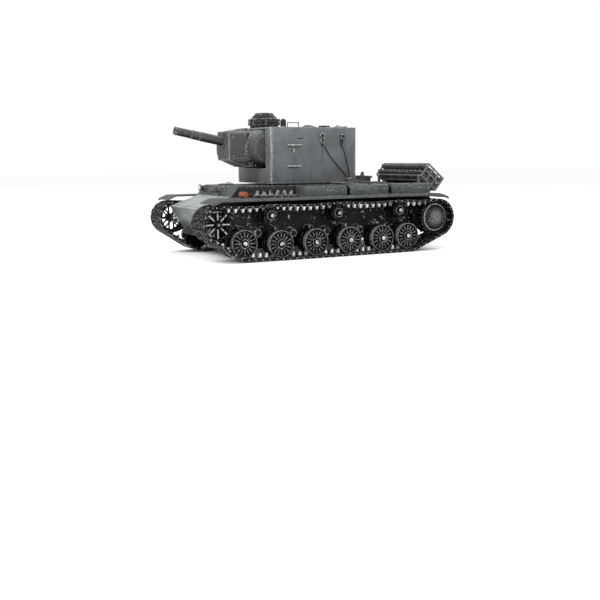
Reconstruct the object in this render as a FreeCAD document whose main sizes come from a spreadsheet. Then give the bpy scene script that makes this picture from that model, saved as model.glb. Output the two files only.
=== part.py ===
import FreeCAD, Part
import Sketcher
import math
import os
import re
from FreeCAD import Placement, Rotation, Vector

# A sixteenth-scale remote controlled heavy tank with a tall box turret.
# Frame: origin on the ground under the middle of the model, -Y is forward, +Z up,
# +X is the tank's left.  All lengths are millimetres.

SIZES = {
    # lower hull, side profile
    "hull_half": "56",
    "floor_height": "28",
    "floor_front": "-166.5",
    "floor_rear": "168",
    "nose_tip": "-191",
    "nose_height": "69",
    "tail_edge": "183",
    "tail_height": "50",
    "deck_seam": "84",
    "hull_wall": "4",
    # upper hull
    "upper_half": "60",
    "glacis_top": "-147.5",
    "roof_front": "-136",
    "roof_height": "98",
    "roof_rear": "108",
    "slope_rear": "150",
    "slope_height": "95",
    "tail_top": "176",
    "tail_top_height": "88",
    "upper_wall": "3",
    # fenders
    "fender_top": "83.5",
    "fender_sheet": "1.6",
    "fender_front": "-178.8",
    "fender_tip": "-191.3",
    "fender_tip_height": "78.4",
    "fender_rear": "156",
    "fender_tail": "181.7",
    "fender_tail_height": "77.5",
    "lip_depth": "2.2",
    "gusset_width": "34",
    # running gear
    "track_gap": "4",
    "track_width": "43.75",
    "fender_cover": "0",
    "link_pitch": "10.125",
    "link_depth": "3.2",
    "link_plate": "2.4",
    "link_gap": "0.8",
    "horn_height": "6",
    "horn_width": "4.6",
    "track_clear": "0.15",
    "track_sag": "1.6",
    "wheel_radius": "18.1",
    "wheel_width": "24",
    "channel_depth": "8.1",
    "channel_half": "4",
    "wheel_a": "-143.3",
    "wheel_b": "-89.2",
    "wheel_c": "-35.1",
    "wheel_d": "19",
    "wheel_e": "73.1",
    "wheel_f": "116.5",
    "wheel_lift_a": "2.8",
    "wheel_lift_f": "1.2",
    "axle_radius": "2.8",
    "axle_clear": "0.08",
    "arm_reach": "31.5",
    "arm_rise": "11.4",
    "arm_thick": "8",
    "arm_gap": "0.2",
    "boss_depth": "3",
    "stop_ahead": "6",
    "idler_spot": "-180.6",
    "idler_height": "50.8",
    "idler_radius": "20.6",
    "sprocket_spot": "164.6",
    "sprocket_height": "47.5",
    "sprocket_teeth": "16",
    "tooth_ring": "10",
    "tooth_thick": "2.2",
    "tooth_clear": "0.3",
    "groove_depth": "1.6",
    "groove_clear": "0.4",
    "roller_radius": "11.95",
    "roller_height": "59.9",
    "roller_front": "-102.3",
    "roller_mid": "1.6",
    "roller_rear": "103.7",
    # turret
    "turret_front": "-83.5",
    "turret_rear": "53.5",
    "turret_crease": "-12",
    "turret_front_half": "53.84",
    "turret_crease_half": "55.3",
    "turret_rear_half": "50",
    "turret_floor": "100.5",
    "turret_roof": "177",
    "turret_wall": "3",
    "ring_spot": "-15.5",
    "ring_radius": "42.5",
    "ring_clear": "0.5",
    "race_width": "6",
    "race_gap": "0.3",
    # gun
    "trunnion_spot": "-79.5",
    "mantlet_drop": "2.6",
    "mantlet_radius": "26.4",
    "mantlet_half": "36",
    "mantlet_clear": "0.6",
    "shield_half": "22",
    "shield_front": "-131.5",
    "shield_below": "15.4",
    "shield_above": "24.2",
    "gun_angle": "11.5",
    "barrel_reach": "124.5",
    "barrel_radius": "5.5",
    "barrel_root": "6.3",
    "bore_radius": "3.6",
    "barrel_clear": "0.1",
    "recoil_travel": "8",
    # cupola
    "cupola_side": "-26",
    "cupola_spot": "-54.3",
    "cupola_radius": "20.5",
    "cupola_height": "19.6",
    "block_out": "22.5",
    "lid_radius": "13.5",
    "lid_thick": "2.6",
    # rear door of the turret
    "door_half": "17",
    "door_low": "112",
    "door_tall": "42",
    "door_thick": "2.6",
    # stowage
    "box_inner": "66",
    "box_outer": "93",
    "box_tall": "14",
    "box_round": "4.5",
    "crate_half": "61",
    "crate_long": "36.5",
    "crate_tall": "24",
    "crate_bar": "2.4",
    "crate_spot": "161.6",
    "crate_height": "107.5",
    "crate_tilt": "-39.9",
    "shell_radius": "4.4",
    "shell_pitch": "11",
    "rope_radius": "0.7",
    # places that follow from the sizes above
    "track_centre": "=hull_half + track_gap + track_width / 2",
    "fender_half": "=hull_half + track_gap + track_width + fender_cover",
    "wheel_hub": "=wheel_radius - channel_depth",
    "trunnion_height": "=turret_roof - mantlet_radius - mantlet_drop",
    "shield_low": "=trunnion_height - shield_below",
    "shield_high": "=trunnion_height + shield_above",
    "cupola_top": "=turret_roof + cupola_height",
}

doc = FreeCAD.newDocument("BoxTurretTank")
sheet = doc.addObject("Spreadsheet::Sheet", "Sizes")
for row, (alias, amount) in enumerate(SIZES.items(), start=1):
    sheet.set(f"A{row}", alias)
    sheet.set(f"B{row}", amount)
    sheet.setAlias(f"B{row}", alias)
doc.recompute()

nodes = []


def formula(text):
    """Point every size named in the text at its cell of the sheet."""
    def refer(match):
        word = match.group(0)
        return "Sizes." + word if word in SIZES else word
    return re.sub(r"[a-z][a-z_]*", refer, str(text))


def number(text):
    """The present value of a formula, as a plain number."""
    found = sheet.evalExpression(formula(text))
    return float(getattr(found, "Value", found))


def bind(thing, field, text):
    thing.setExpression(field, formula(text))


def place(thing, x="0", y="0", z="0"):
    bind(thing, "Placement.Base.x", x)
    bind(thing, "Placement.Base.y", y)
    bind(thing, "Placement.Base.z", z)
    return thing


def keep(thing, label):
    """Name a finished sub-part and put it on the list that is written out."""
    thing.Label = label
    nodes.append(thing)
    return thing


# Part primitives and booleans

def box(name, size, spot):
    thing = doc.addObject("Part::Box", name)
    for field, text in zip(("Length", "Width", "Height"), size):
        bind(thing, field, text)
    return place(thing, *spot)


TURNS = {
    "x": Rotation(Vector(0, 1, 0), 90),
    "y": Rotation(Vector(1, 0, 0), -90),
    "z": Rotation(),
}


def rod(name, radius, length, spot, axis="x"):
    thing = doc.addObject("Part::Cylinder", name)
    bind(thing, "Radius", radius)
    bind(thing, "Height", length)
    thing.Placement = Placement(Vector(), TURNS[axis])
    return place(thing, *spot)


def cone(name, radius, end_radius, length, spot, axis="x"):
    thing = doc.addObject("Part::Cone", name)
    bind(thing, "Radius1", radius)
    bind(thing, "Radius2", end_radius)
    bind(thing, "Height", length)
    thing.Placement = Placement(Vector(), TURNS[axis])
    return place(thing, *spot)


def ball(name, radius, spot):
    thing = doc.addObject("Part::Sphere", name)
    bind(thing, "Radius", radius)
    return place(thing, *spot)


def fuse(name, things):
    thing = doc.addObject("Part::MultiFuse", name)
    thing.Shapes = things
    return thing


def gather(name, things):
    thing = doc.addObject("Part::Compound", name)
    thing.Links = things
    return thing


def cut(name, base, tool):
    thing = doc.addObject("Part::Cut", name)
    thing.Base = base
    thing.Tool = tool
    return thing


def mirrored(name, source):
    thing = doc.addObject("Part::Mirroring", name)
    thing.Source = source
    thing.Normal = (1, 0, 0)
    return thing


def both_sides(name, thing):
    return gather(name, [thing, mirrored(name + "_right", thing)])


def rounded(name, base, radius, chosen):
    """Fillet the edges of a primitive that the chosen test picks."""
    doc.recompute()
    thing = doc.addObject("Part::Fillet", name)
    thing.Base = base
    edges = []
    for index, edge in enumerate(base.Shape.Edges, start=1):
        if chosen(edge):
            edges.append((index, number(radius), number(radius)))
    thing.Edges = edges
    return thing


# PartDesign bodies

def body(name):
    return doc.addObject("PartDesign::Body", name)


def origin_part(owner, role):
    for feature in owner.Origin.OriginFeatures:
        if feature.Role == role:
            return feature
    raise RuntimeError("no such origin feature: " + role)


def sketch(owner, plane, offset=None):
    drawing = owner.newObject("Sketcher::SketchObject", owner.Name + "_sketch")
    drawing.AttachmentSupport = [(origin_part(owner, plane + "_Plane"), "")]
    drawing.MapMode = "FlatFace"
    if offset is not None:
        bind(drawing, "AttachmentOffset.Base.z", offset)
    return drawing


def pin_point(drawing, geometry, end, x, y):
    for kind, text in (("DistanceX", x), ("DistanceY", y)):
        rule = Sketcher.Constraint(kind, -1, 1, geometry, end, number(text))
        index = drawing.addConstraint(rule)
        drawing.setExpression(f"Constraints[{index}]", formula(text))


def outline(drawing, points):
    """A closed polygon whose corners stand where their formulas say."""
    corners = [Vector(number(x), number(y), 0) for x, y in points]
    first = drawing.GeometryCount
    count = len(points)
    for index in range(count):
        line = Part.LineSegment(corners[index], corners[(index + 1) % count])
        drawing.addGeometry(line, False)
    for index in range(count):
        after = first + (index + 1) % count
        drawing.addConstraint(Sketcher.Constraint("Coincident", first + index, 2, after, 1))
    for index, (x, y) in enumerate(points):
        pin_point(drawing, first + index, 1, x, y)
    return drawing


def circle(drawing, x, y, radius):
    centre = Vector(number(x), number(y), 0)
    index = drawing.addGeometry(Part.Circle(centre, Vector(0, 0, 1), number(radius)), False)
    pin_point(drawing, index, 3, x, y)
    rule = drawing.addConstraint(Sketcher.Constraint("Radius", index, number(radius)))
    drawing.setExpression(f"Constraints[{rule}]", formula(radius))
    return drawing


def grow(owner, drawing, length, symmetric=False, backward=False):
    pad = owner.newObject("PartDesign::Pad", owner.Name + "_pad")
    pad.Profile = drawing
    bind(pad, "Length", length)
    if symmetric:
        pad.SideType = "Symmetric"
    pad.Reversed = backward
    drawing.Visibility = False
    return pad


def carve(owner, drawing, length, symmetric=False, backward=False):
    pocket = owner.newObject("PartDesign::Pocket", owner.Name + "_pocket")
    pocket.Profile = drawing
    bind(pocket, "Length", length)
    if symmetric:
        pocket.SideType = "Symmetric"
    pocket.Reversed = backward
    drawing.Visibility = False
    return pocket


def turn(owner, drawing, axis="H_Axis"):
    lathe = owner.newObject("PartDesign::Revolution", owner.Name + "_turned")
    lathe.Profile = drawing
    lathe.ReferenceAxis = (drawing, [axis])
    lathe.Angle = 360
    return lathe


def around(owner, features, count, axis="X_Axis"):
    ring = owner.newObject("PartDesign::PolarPattern", owner.Name + "_ring")
    ring.Originals = features
    ring.Axis = (origin_part(owner, axis), [""])
    ring.Angle = 360
    bind(ring, "Occurrences", count)
    owner.Tip = ring
    return ring


def seat_on_side(thing, side, y, z):
    """Put a wheel at its axle on the left (1) or right (-1) side, hub cap outward."""
    if side < 0:
        thing.Placement = Placement(Vector(), Rotation(Vector(0, 0, 1), 180))
    return place(thing, f"{side} * track_centre", y, z)


AXLE_HEIGHT = "link_depth + track_clear + wheel_radius"
WHEELS = {
    "a": ("wheel_a", AXLE_HEIGHT + " + wheel_lift_a"),
    "b": ("wheel_b", AXLE_HEIGHT),
    "c": ("wheel_c", AXLE_HEIGHT),
    "d": ("wheel_d", AXLE_HEIGHT),
    "e": ("wheel_e", AXLE_HEIGHT),
    "f": ("wheel_f", AXLE_HEIGHT + " + wheel_lift_f"),
}
ROLLERS = {"a": "roller_front", "b": "roller_mid", "c": "roller_rear"}
SIDES = {"left": 1, "right": -1}
BORE = "axle_radius + axle_clear"


# ---------------------------------------------------------------- running gear

def road_wheel(label, side, y, z):
    """Cast twin-disc road wheel: rim ring, recessed web, radial ribs, hub ring and cap."""
    wheel = body(label + "_body")
    half = "wheel_width / 2"
    profile = sketch(wheel, "XY")
    outline(profile, [
        ("-" + half, BORE),
        ("-" + half, "wheel_radius"),
        ("-channel_half", "wheel_radius"),
        ("-channel_half", "wheel_hub"),
        ("channel_half", "wheel_hub"),
        ("channel_half", "wheel_radius"),
        (half, "wheel_radius"),
        (half, "wheel_radius - 2.9"),
        (half + " - 3", "wheel_radius - 2.9"),
        (half + " - 3", "8"),
        (half + " + 0.4", "8"),
        (half + " + 0.4", "5.6"),
        (half + " - 0.6", "5.6"),
        (half + " - 0.6", "4.4"),
        (half + " + 1.2", "4.4"),
        (half + " + 2", "3.2"),
        (half + " + 2", "0"),
        ("2", "0"),
        ("2", BORE),
    ])
    turn(wheel, profile)
    rib = sketch(wheel, "YZ", half + " - 3.3")
    outline(rib, [
        ("-0.55", "7.5"),
        ("0.55", "7.5"),
        ("0.55", "wheel_radius - 2.5"),
        ("-0.55", "wheel_radius - 2.5"),
    ])
    rib_pad = grow(wheel, rib, "2.7")
    around(wheel, [rib_pad], 16)
    bolt = sketch(wheel, "YZ", half)
    circle(bolt, "0", "6.8", "0.65")
    bolt_pad = grow(wheel, bolt, "1")
    around(wheel, [bolt_pad], 8)
    seat_on_side(wheel, side, y, z)
    keep(wheel, label)


def swing_arm(label, side, y, z):
    """Suspension arm: pivot hub on the hull side, tapered arm and the wheel's axle."""
    arm = body(label + "_body")
    drawing = sketch(arm, "YZ")
    circle(drawing, "0", "0", "6.5")
    grow(arm, drawing, "arm_thick")
    drawing = sketch(arm, "YZ")
    reach = "arm_reach"
    rise = "arm_rise"
    outline(drawing, [
        ("1", "5.6"),
        ("-" + reach, "-" + rise + " + 5"),
        ("-" + reach, "-" + rise + " - 5"),
        ("-1", "-5.6"),
    ])
    grow(arm, drawing, "arm_thick - 2")
    drawing = sketch(arm, "YZ")
    circle(drawing, "-" + reach, "-" + rise, "5.2")
    grow(arm, drawing, "arm_thick")
    drawing = sketch(arm, "YZ")
    circle(drawing, "-" + reach, "-" + rise, "axle_radius")
    grow(arm, drawing, "track_centre + 1 - hull_half - boss_depth - arm_gap")
    drawing = sketch(arm, "YZ")
    circle(drawing, "0", "0", "3.4")
    grow(arm, drawing, "arm_thick + 1.2")
    foot = "hull_half + boss_depth + arm_gap"
    if side < 0:
        mirror_arm = mirrored(label + "_mirror", arm)
        place(arm, foot, y + " + arm_reach", z + " + arm_rise")
        keep(mirror_arm, label)
    else:
        place(arm, foot, y + " + arm_reach", z + " + arm_rise")
        keep(arm, label)


def idler(label, side):
    """Front idler: split rim on eight thin spokes, with a domed hub."""
    wheel = body(label + "_body")
    half = "wheel_width / 2"
    profile = sketch(wheel, "XY")
    for inner, outer in ((f"-({half})", "-channel_half"), ("channel_half", half)):
        outline(profile, [
            (inner, "idler_radius - 2.8"),
            (inner, "idler_radius"),
            (outer, "idler_radius"),
            (outer, "idler_radius - 2.8"),
        ])
    outline(profile, [
        ("-" + half, BORE),
        ("-" + half, "6"),
        (half + " - 1", "6"),
        (half + " + 1.6", "4.6"),
        (half + " + 2.6", "2"),
        (half + " + 2.6", "0"),
        ("2", "0"),
        ("2", BORE),
    ])
    turn(wheel, profile)
    spokes = []
    for offset in (half + " - 4", "-" + half + " + 1"):
        spoke = sketch(wheel, "YZ", offset)
        outline(spoke, [
            ("-0.85", "5"),
            ("0.85", "5"),
            ("0.85", "idler_radius - 2.4"),
            ("-0.85", "idler_radius - 2.4"),
        ])
        spokes.append(grow(wheel, spoke, "3"))
    around(wheel, spokes, 8)
    seat_on_side(wheel, side, "idler_spot", "idler_height")
    keep(wheel, label)


PITCH_RADIUS = "link_pitch / 2 / sin(180deg / sprocket_teeth)"
RIM_RADIUS = f"({PITCH_RADIUS}) * cos(180deg / sprocket_teeth) - link_depth / 2 - tooth_clear"


def sprocket(label, side):
    """Rear drive sprocket: two toothed rings on a drum, with a domed bolted cover."""
    wheel = body(label + "_body")
    ring_in = "tooth_ring - tooth_thick / 2"
    ring_out = "tooth_ring + tooth_thick / 2"
    profile = sketch(wheel, "XY")
    outline(profile, [
        (f"-({ring_out})", "axle_radius + 1.2 + axle_clear"),
        (f"-({ring_out})", RIM_RADIUS),
        (f"-({ring_in})", RIM_RADIUS),
        (f"-({ring_in})", "19.6"),
        ("-channel_half", "19.6"),
        ("-channel_half", "16.4"),
        ("channel_half", "16.4"),
        ("channel_half", "19.6"),
        (ring_in, "19.6"),
        (ring_in, RIM_RADIUS),
        (ring_out, RIM_RADIUS),
        (ring_out, "19.4"),
        ("tooth_ring + 0.2", "19.4"),
        ("tooth_ring + 0.2", "18.4"),
        ("tooth_ring + 2.2", "18.2"),
        ("tooth_ring + 3.2", "16.6"),
        ("tooth_ring + 4", "10"),
        ("tooth_ring + 4.2", "4"),
        ("tooth_ring + 4.2", "0"),
        ("4", "0"),
        ("4", "axle_radius + 1.2 + axle_clear"),
    ])
    turn(wheel, profile)
    teeth = []
    for offset in (ring_in, f"-({ring_out})"):
        tooth = sketch(wheel, "YZ", offset)
        outline(tooth, [
            ("-2.3", RIM_RADIUS + " - 1"),
            ("2.3", RIM_RADIUS + " - 1"),
            ("0.9", RIM_RADIUS + " + groove_depth"),
            ("-0.9", RIM_RADIUS + " + groove_depth"),
        ])
        teeth.append(grow(wheel, tooth, "tooth_thick"))
    around(wheel, teeth, "sprocket_teeth")
    bolts = []
    for reach, offset in (("21.4", ring_out + " - 0.2"), ("14.6", "tooth_ring + 2.6")):
        bolt = sketch(wheel, "YZ", offset)
        circle(bolt, "0", reach, "0.8")
        bolts.append(grow(wheel, bolt, "1.4"))
    around(wheel, bolts, 16)
    seat_on_side(wheel, side, "sprocket_spot", "sprocket_height")
    keep(wheel, label)


def roller(label, side, y):
    """Return roller: two tyred rims, dished web, bolts and hub."""
    wheel = body(label + "_body")
    half = "wheel_width / 2 - 1"
    profile = sketch(wheel, "XY")
    outline(profile, [
        (f"-({half})", BORE),
        (f"-({half})", "roller_radius"),
        ("-channel_half", "roller_radius"),
        ("-channel_half", "5"),
        ("channel_half", "5"),
        ("channel_half", "roller_radius"),
        (half, "roller_radius"),
        (half, "roller_radius - 3"),
        (half + " - 1.6", "roller_radius - 3.2"),
        (half + " - 1.6", "4.8"),
        (half + " + 0.4", "4.4"),
        (half + " + 1", "3"),
        (half + " + 1", "0"),
        ("2", "0"),
        ("2", BORE),
    ])
    turn(wheel, profile)
    bolt = sketch(wheel, "YZ", half + " - 1.8")
    circle(bolt, "0", "6.7", "0.8")
    bolt_pad = grow(wheel, bolt, "1.2")
    around(wheel, [bolt_pad], 8)
    seat_on_side(wheel, side, y, "roller_height")
    keep(wheel, label)


for side_name, side_sign in SIDES.items():
    for letter, (spot, height) in WHEELS.items():
        road_wheel(f"road_wheel_{side_name}_{letter}", side_sign, spot, height)
        swing_arm(f"swing_arm_{side_name}_{letter}", side_sign, spot, height)
    for letter, spot in ROLLERS.items():
        roller(f"return_roller_{side_name}_{letter}", side_sign, spot)
    idler(f"idler_{side_name}", side_sign)
    sprocket(f"sprocket_{side_name}", side_sign)


# ---------------------------------------------------------------- track loops

def belt_circles():
    """Centre and radius of the pin line around each wheel that the track touches."""
    half_link = number("link_depth / 2")
    clear = number("track_clear")
    half_pitch = number("link_pitch / 2")
    circles = []

    def add(y, z, radius, wraps):
        reach = radius + clear + half_link
        if wraps:
            reach = math.hypot(reach, half_pitch)
        circles.append((number(y), number(z), reach))

    add("idler_spot", "idler_height", number("idler_radius"), True)
    for letter, (spot, height) in WHEELS.items():
        add(spot, height, number("wheel_radius"), letter in "af")
    for spot in ROLLERS.values():
        add(spot, "roller_height", number("roller_radius"), False)
    circles.append((
        number("sprocket_spot"),
        number("sprocket_height"),
        number(PITCH_RADIUS),
    ))
    return circles


def outer_loop(circles):
    """The taut belt around all the circles, as a dense closed polyline."""
    points = []
    for y, z, radius in circles:
        for step in range(720):
            angle = math.radians(step / 2)
            points.append((y + radius * math.cos(angle), z + radius * math.sin(angle)))
    points.sort()

    def half(ordered):
        chain = []
        for p in ordered:
            while len(chain) > 1:
                ay, az = chain[-2]
                by, bz = chain[-1]
                if (by - ay) * (p[1] - az) - (bz - az) * (p[0] - ay) > 0:
                    break
                chain.pop()
            chain.append(p)
        return chain[:-1]

    return half(points) + half(points[::-1])


def with_sag(loop):
    """Let the top run hang a little between the wheels that carry it."""
    holds = [number(spot) for spot in ("idler_spot", *ROLLERS.values(), "sprocket_spot")]
    middle = number("roller_height")
    dense = []
    for index, (y, z) in enumerate(loop):
        next_y, next_z = loop[(index + 1) % len(loop)]
        steps = max(1, int(math.hypot(next_y - y, next_z - z)))
        for step in range(steps):
            part = step / steps
            dense.append((y + (next_y - y) * part, z + (next_z - z) * part))
    hung = []
    for y, z in dense:
        if z > middle:
            for near, far in zip(holds, holds[1:]):
                if near < y < far:
                    share = (y - near) / (far - near)
                    z -= number("track_sag") * math.sin(math.pi * share) ** 2
        hung.append((y, z))
    return hung


def pins_along(loop):
    """Pin positions one pitch apart, with the pitch eased to a whole number of links."""
    lengths = [0.0]
    for index, (y, z) in enumerate(loop):
        next_y, next_z = loop[(index + 1) % len(loop)]
        lengths.append(lengths[-1] + math.hypot(next_y - y, next_z - z))
    count = round(lengths[-1] / number("link_pitch"))
    pins = []
    index = 0
    for pin in range(count):
        target = lengths[-1] * pin / count
        while lengths[index + 1] < target:
            index += 1
        part = (target - lengths[index]) / (lengths[index + 1] - lengths[index])
        y, z = loop[index]
        next_y, next_z = loop[(index + 1) % len(loop)]
        pins.append((y + (next_y - y) * part, z + (next_z - z) * part))
    return pins


def solid_box(x, y, z):
    """A box between three pairs of limits."""
    return Part.makeBox(x[1] - x[0], y[1] - y[0], z[1] - z[0], Vector(x[0], y[0], z[0]))


def track_link():
    """One cast link, inner face up: plate, tooth grooves, guide horn and outer bars."""
    width = number("track_width") / 2
    long = number("link_pitch - link_gap") / 2
    top = number("link_depth / 2")
    low = top - number("link_plate")
    link = solid_box((-width, width), (-long, long), (low, top))
    bars = []
    for side in (-1, 1):
        near = side * long
        far = side * (long - 1.7)
        bars.append(solid_box((-width, width), sorted((near, far)), (-top, low)))
        x = side * (width - 1.1)
        bars.append(solid_box((x - 1.1, x + 1.1), (-long, long), (-top, low)))
    bars.append(solid_box((-2.2, 2.2), (-long, long), (-top, low)))
    horn_half = number("horn_width / 2")
    tall = top + number("horn_height")
    flank = Part.makePolygon([
        Vector(-horn_half, -2.6, top),
        Vector(-horn_half, 2.6, top),
        Vector(-horn_half, 1.1, tall),
        Vector(-horn_half, -0.3, tall),
        Vector(-horn_half, -2.6, top),
    ])
    bars.append(Part.Face(flank).extrude(Vector(2 * horn_half, 0, 0)))
    link = link.multiFuse(bars).removeSplitter()
    groove_half = number("tooth_thick / 2 + groove_clear")
    floor = top - number("groove_depth")
    for side in (-1, 1):
        x = side * number("tooth_ring")
        groove = solid_box((x - groove_half, x + groove_half), (-long - 1, long + 1), (floor, top + 1))
        link = link.cut(groove)
    return link


pins = pins_along(with_sag(outer_loop(belt_circles())))
link = track_link()
for side_name, side_sign in SIDES.items():
    links = []
    for index, (y, z) in enumerate(pins):
        next_y, next_z = pins[(index + 1) % len(pins)]
        angle = math.degrees(math.atan2(next_z - z, next_y - y))
        copy = link.copy()
        middle = Vector(0, (y + next_y) / 2, (z + next_z) / 2)
        copy.Placement = Placement(middle, Rotation(Vector(1, 0, 0), angle))
        links.append(copy)
    track = doc.addObject("Part::Feature", "track_" + side_name + "_loop")
    track.Shape = Part.makeCompound(links)
    track.Placement = Placement(Vector(side_sign * number("track_centre"), 0, 0), Rotation())
    keep(track, "track_" + side_name)
print("links in each track:", len(pins))


# ---------------------------------------------------------------- hull

def tub():
    """Welded lower hull, open at the deck seam, with glacis, nose and tail plates."""
    hull = body("tub")
    drawing = sketch(hull, "YZ")
    outline(drawing, [
        ("nose_tip", "nose_height"),
        ("floor_front", "floor_height"),
        ("floor_rear", "floor_height"),
        ("tail_edge", "tail_height"),
        ("tail_edge", "deck_seam"),
        ("glacis_top", "deck_seam"),
    ])
    grow(hull, drawing, "hull_half * 2", symmetric=True)
    inside = "(hull_half - hull_wall)"
    drawing = sketch(hull, "XY", "deck_seam")
    outline(drawing, [
        ("-" + inside, "glacis_top + 12"),
        (inside, "glacis_top + 12"),
        (inside, "floor_rear - 4"),
        ("-" + inside, "floor_rear - 4"),
    ])
    carve(hull, drawing, "deck_seam - floor_height - hull_wall")
    return hull


def side_mounts():
    """Pivot bosses, bump stops, axles and brackets on the left hull side."""
    axle_long = "track_centre + 1 - hull_half"
    mounts = []
    for letter, (spot, height) in WHEELS.items():
        pivot_y = spot + " + arm_reach"
        pivot_z = height + " + arm_rise"
        mounts.append(rod(
            "pivot_boss_" + letter, "7.4", "boss_depth", ("hull_half", pivot_y, pivot_z)))
        mounts.append(box(
            "bump_stop_" + letter, ("arm_thick + 3", "7", "6"),
            ("hull_half", spot + " + stop_ahead - 3.5", height + " + 15.2")))
    for letter, spot in ROLLERS.items():
        mounts.append(rod(
            "roller_collar_" + letter, "5", "12", ("hull_half", spot, "roller_height")))
        mounts.append(rod(
            "roller_axle_" + letter, "axle_radius", axle_long,
            ("hull_half", spot, "roller_height")))
    mounts.append(rod(
        "idler_collar", "6.4", "11", ("hull_half", "idler_spot", "idler_height")))
    mounts.append(rod(
        "idler_axle", "axle_radius", axle_long, ("hull_half", "idler_spot", "idler_height")))
    mounts.append(box(
        "idler_bracket", ("10", "34", "10"),
        ("hull_half - 4", "idler_spot", "idler_height - 5")))
    mounts.append(rod(
        "tension_screw", "2.4", "24", ("hull_half + 6", "idler_spot + 6", "idler_height + 9"), "y"))
    mounts.append(box(
        "tension_block", ("9", "7", "9"),
        ("hull_half - 1", "idler_spot + 28", "idler_height + 4.5")))
    mounts.append(rod(
        "final_drive", "12", "10", ("hull_half", "sprocket_spot", "sprocket_height")))
    mounts.append(rod(
        "sprocket_axle", "axle_radius + 1.2", "track_centre + 2 - hull_half",
        ("hull_half", "sprocket_spot", "sprocket_height")))
    return fuse("side_mounts", mounts)


left_mounts = side_mounts()
tub_body = tub()
keep(fuse("lower_hull_solid", [
    tub_body, left_mounts, mirrored("side_mounts_right", left_mounts)]), "lower_hull")

PLATE_RUN = "(roof_front - glacis_top)"
PLATE_RISE = "(roof_height - deck_seam)"
plate_lean = math.degrees(math.atan2(number(PLATE_RUN), number(PLATE_RISE)))


def on_plate(share):
    """Y and Z formulas of a point a given share of the way up the driver's plate."""
    return f"glacis_top + {PLATE_RUN} * {share}", f"deck_seam + {PLATE_RISE} * {share}"


def deck():
    """Upper hull: sloped driver's plate, roof, stepped-down tail and turret race."""
    hull = body("deck")
    drawing = sketch(hull, "YZ")
    outline(drawing, [
        ("glacis_top", "deck_seam"),
        ("tail_edge - 1", "deck_seam"),
        ("tail_top", "tail_top_height"),
        ("slope_rear", "slope_height"),
        ("roof_rear", "roof_height"),
        ("roof_front", "roof_height"),
    ])
    grow(hull, drawing, "upper_half * 2", symmetric=True)
    inside = "(upper_half - upper_wall)"
    drawing = sketch(hull, "XY", "deck_seam")
    outline(drawing, [
        ("-" + inside, "glacis_top + 20"),
        (inside, "glacis_top + 20"),
        (inside, "roof_rear"),
        ("-" + inside, "roof_rear"),
    ])
    carve(hull, drawing, "roof_height - upper_wall - deck_seam", backward=True)
    hole = "ring_radius + ring_clear"
    drawing = sketch(hull, "XY", "roof_height")
    circle(drawing, "0", "ring_spot", hole + " + race_width")
    grow(hull, drawing, "turret_floor - race_gap - roof_height")
    drawing = sketch(hull, "XY", "turret_floor")
    circle(drawing, "0", "ring_spot", hole)
    carve(hull, drawing, "turret_floor - roof_height + upper_wall + 1")
    return hull


deck_body = deck()
gun_y, gun_z = on_plate("0.5")
GUN_SIDE = "20"
collar = rod("gun_collar", "7.4", "4.4", (GUN_SIDE, gun_y, gun_z), "z")
collar.Placement.Rotation = Rotation(Vector(1, 0, 0), 90 - plate_lean)
bind(collar, "Placement.Base.y", gun_y + " + 1.6")
bind(collar, "Placement.Base.z", gun_z + " - 1.3")
socket_ball = ball("gun_socket", "5.3", (GUN_SIDE, gun_y, gun_z))
keep(cut("upper_hull_solid", fuse("deck_and_collar", [deck_body, collar]), socket_ball),
     "upper_hull")

keep(fuse("hull_gun_solid", [
    ball("hull_gun_ball", "5", (GUN_SIDE, gun_y, gun_z)),
    rod("hull_gun_jacket", "1.9", "9", (GUN_SIDE, gun_y + " - 12", gun_z), "y"),
    rod("hull_gun_barrel", "1.1", "16", (GUN_SIDE, gun_y + " - 18", gun_z), "y"),
]), "hull_gun")

visor_y, visor_z = on_plate("0.34")
visor = box("visor_flap", ("17", "2.4", "7"), ("0", "0", "0"))
visor.Placement.Rotation = Rotation(Vector(1, 0, 0), -plate_lean)
away = 2.6
visor_lean = math.radians(plate_lean)
bind(visor, "Placement.Base.x", "-20.5")
bind(visor, "Placement.Base.y", f"{visor_y} - {away * math.cos(visor_lean):.4f}")
bind(visor, "Placement.Base.z", f"{visor_z} + {away * math.sin(visor_lean):.4f}")
keep(visor, "driver_visor")


def fender():
    """Left track guard: flat sheet bent down at both ends, with a lip and gussets."""
    guard = body("guard")
    top = [
        ("fender_tip", "fender_tip_height"),
        ("fender_front", "fender_top"),
        ("fender_rear", "fender_top"),
        ("fender_rear + 10", "fender_top - 0.8"),
        ("fender_rear + 18", "fender_top - 2.9"),
        ("fender_tail", "fender_tail_height"),
    ]
    below = [(y, z + " - fender_sheet") for y, z in top]
    edge = [(y, z + " - fender_sheet - lip_depth") for y, z in top]
    drawing = sketch(guard, "YZ", "upper_half")
    outline(drawing, top + below[::-1])
    grow(guard, drawing, "fender_half - upper_half")
    drawing = sketch(guard, "YZ", "fender_half - 1.2")
    outline(drawing, top + edge[::-1])
    grow(guard, drawing, "1.2")
    under = "fender_top - fender_sheet"
    for spot in ("-140", "-72", "-14", "46", "140"):
        drawing = sketch(guard, "XZ", f"-({spot})")
        outline(drawing, [
            ("upper_half", under + " + 0.5"),
            ("upper_half + gusset_width", under + " + 0.5"),
            ("upper_half + gusset_width", under),
            ("upper_half", under + " - 5"),
        ])
        grow(guard, drawing, "1.2")
    return guard


left_guard = fender()
keep(left_guard, "fender_left")
keep(mirrored("guard_right", left_guard), "fender_right")


# ---------------------------------------------------------------- stowage

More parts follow.
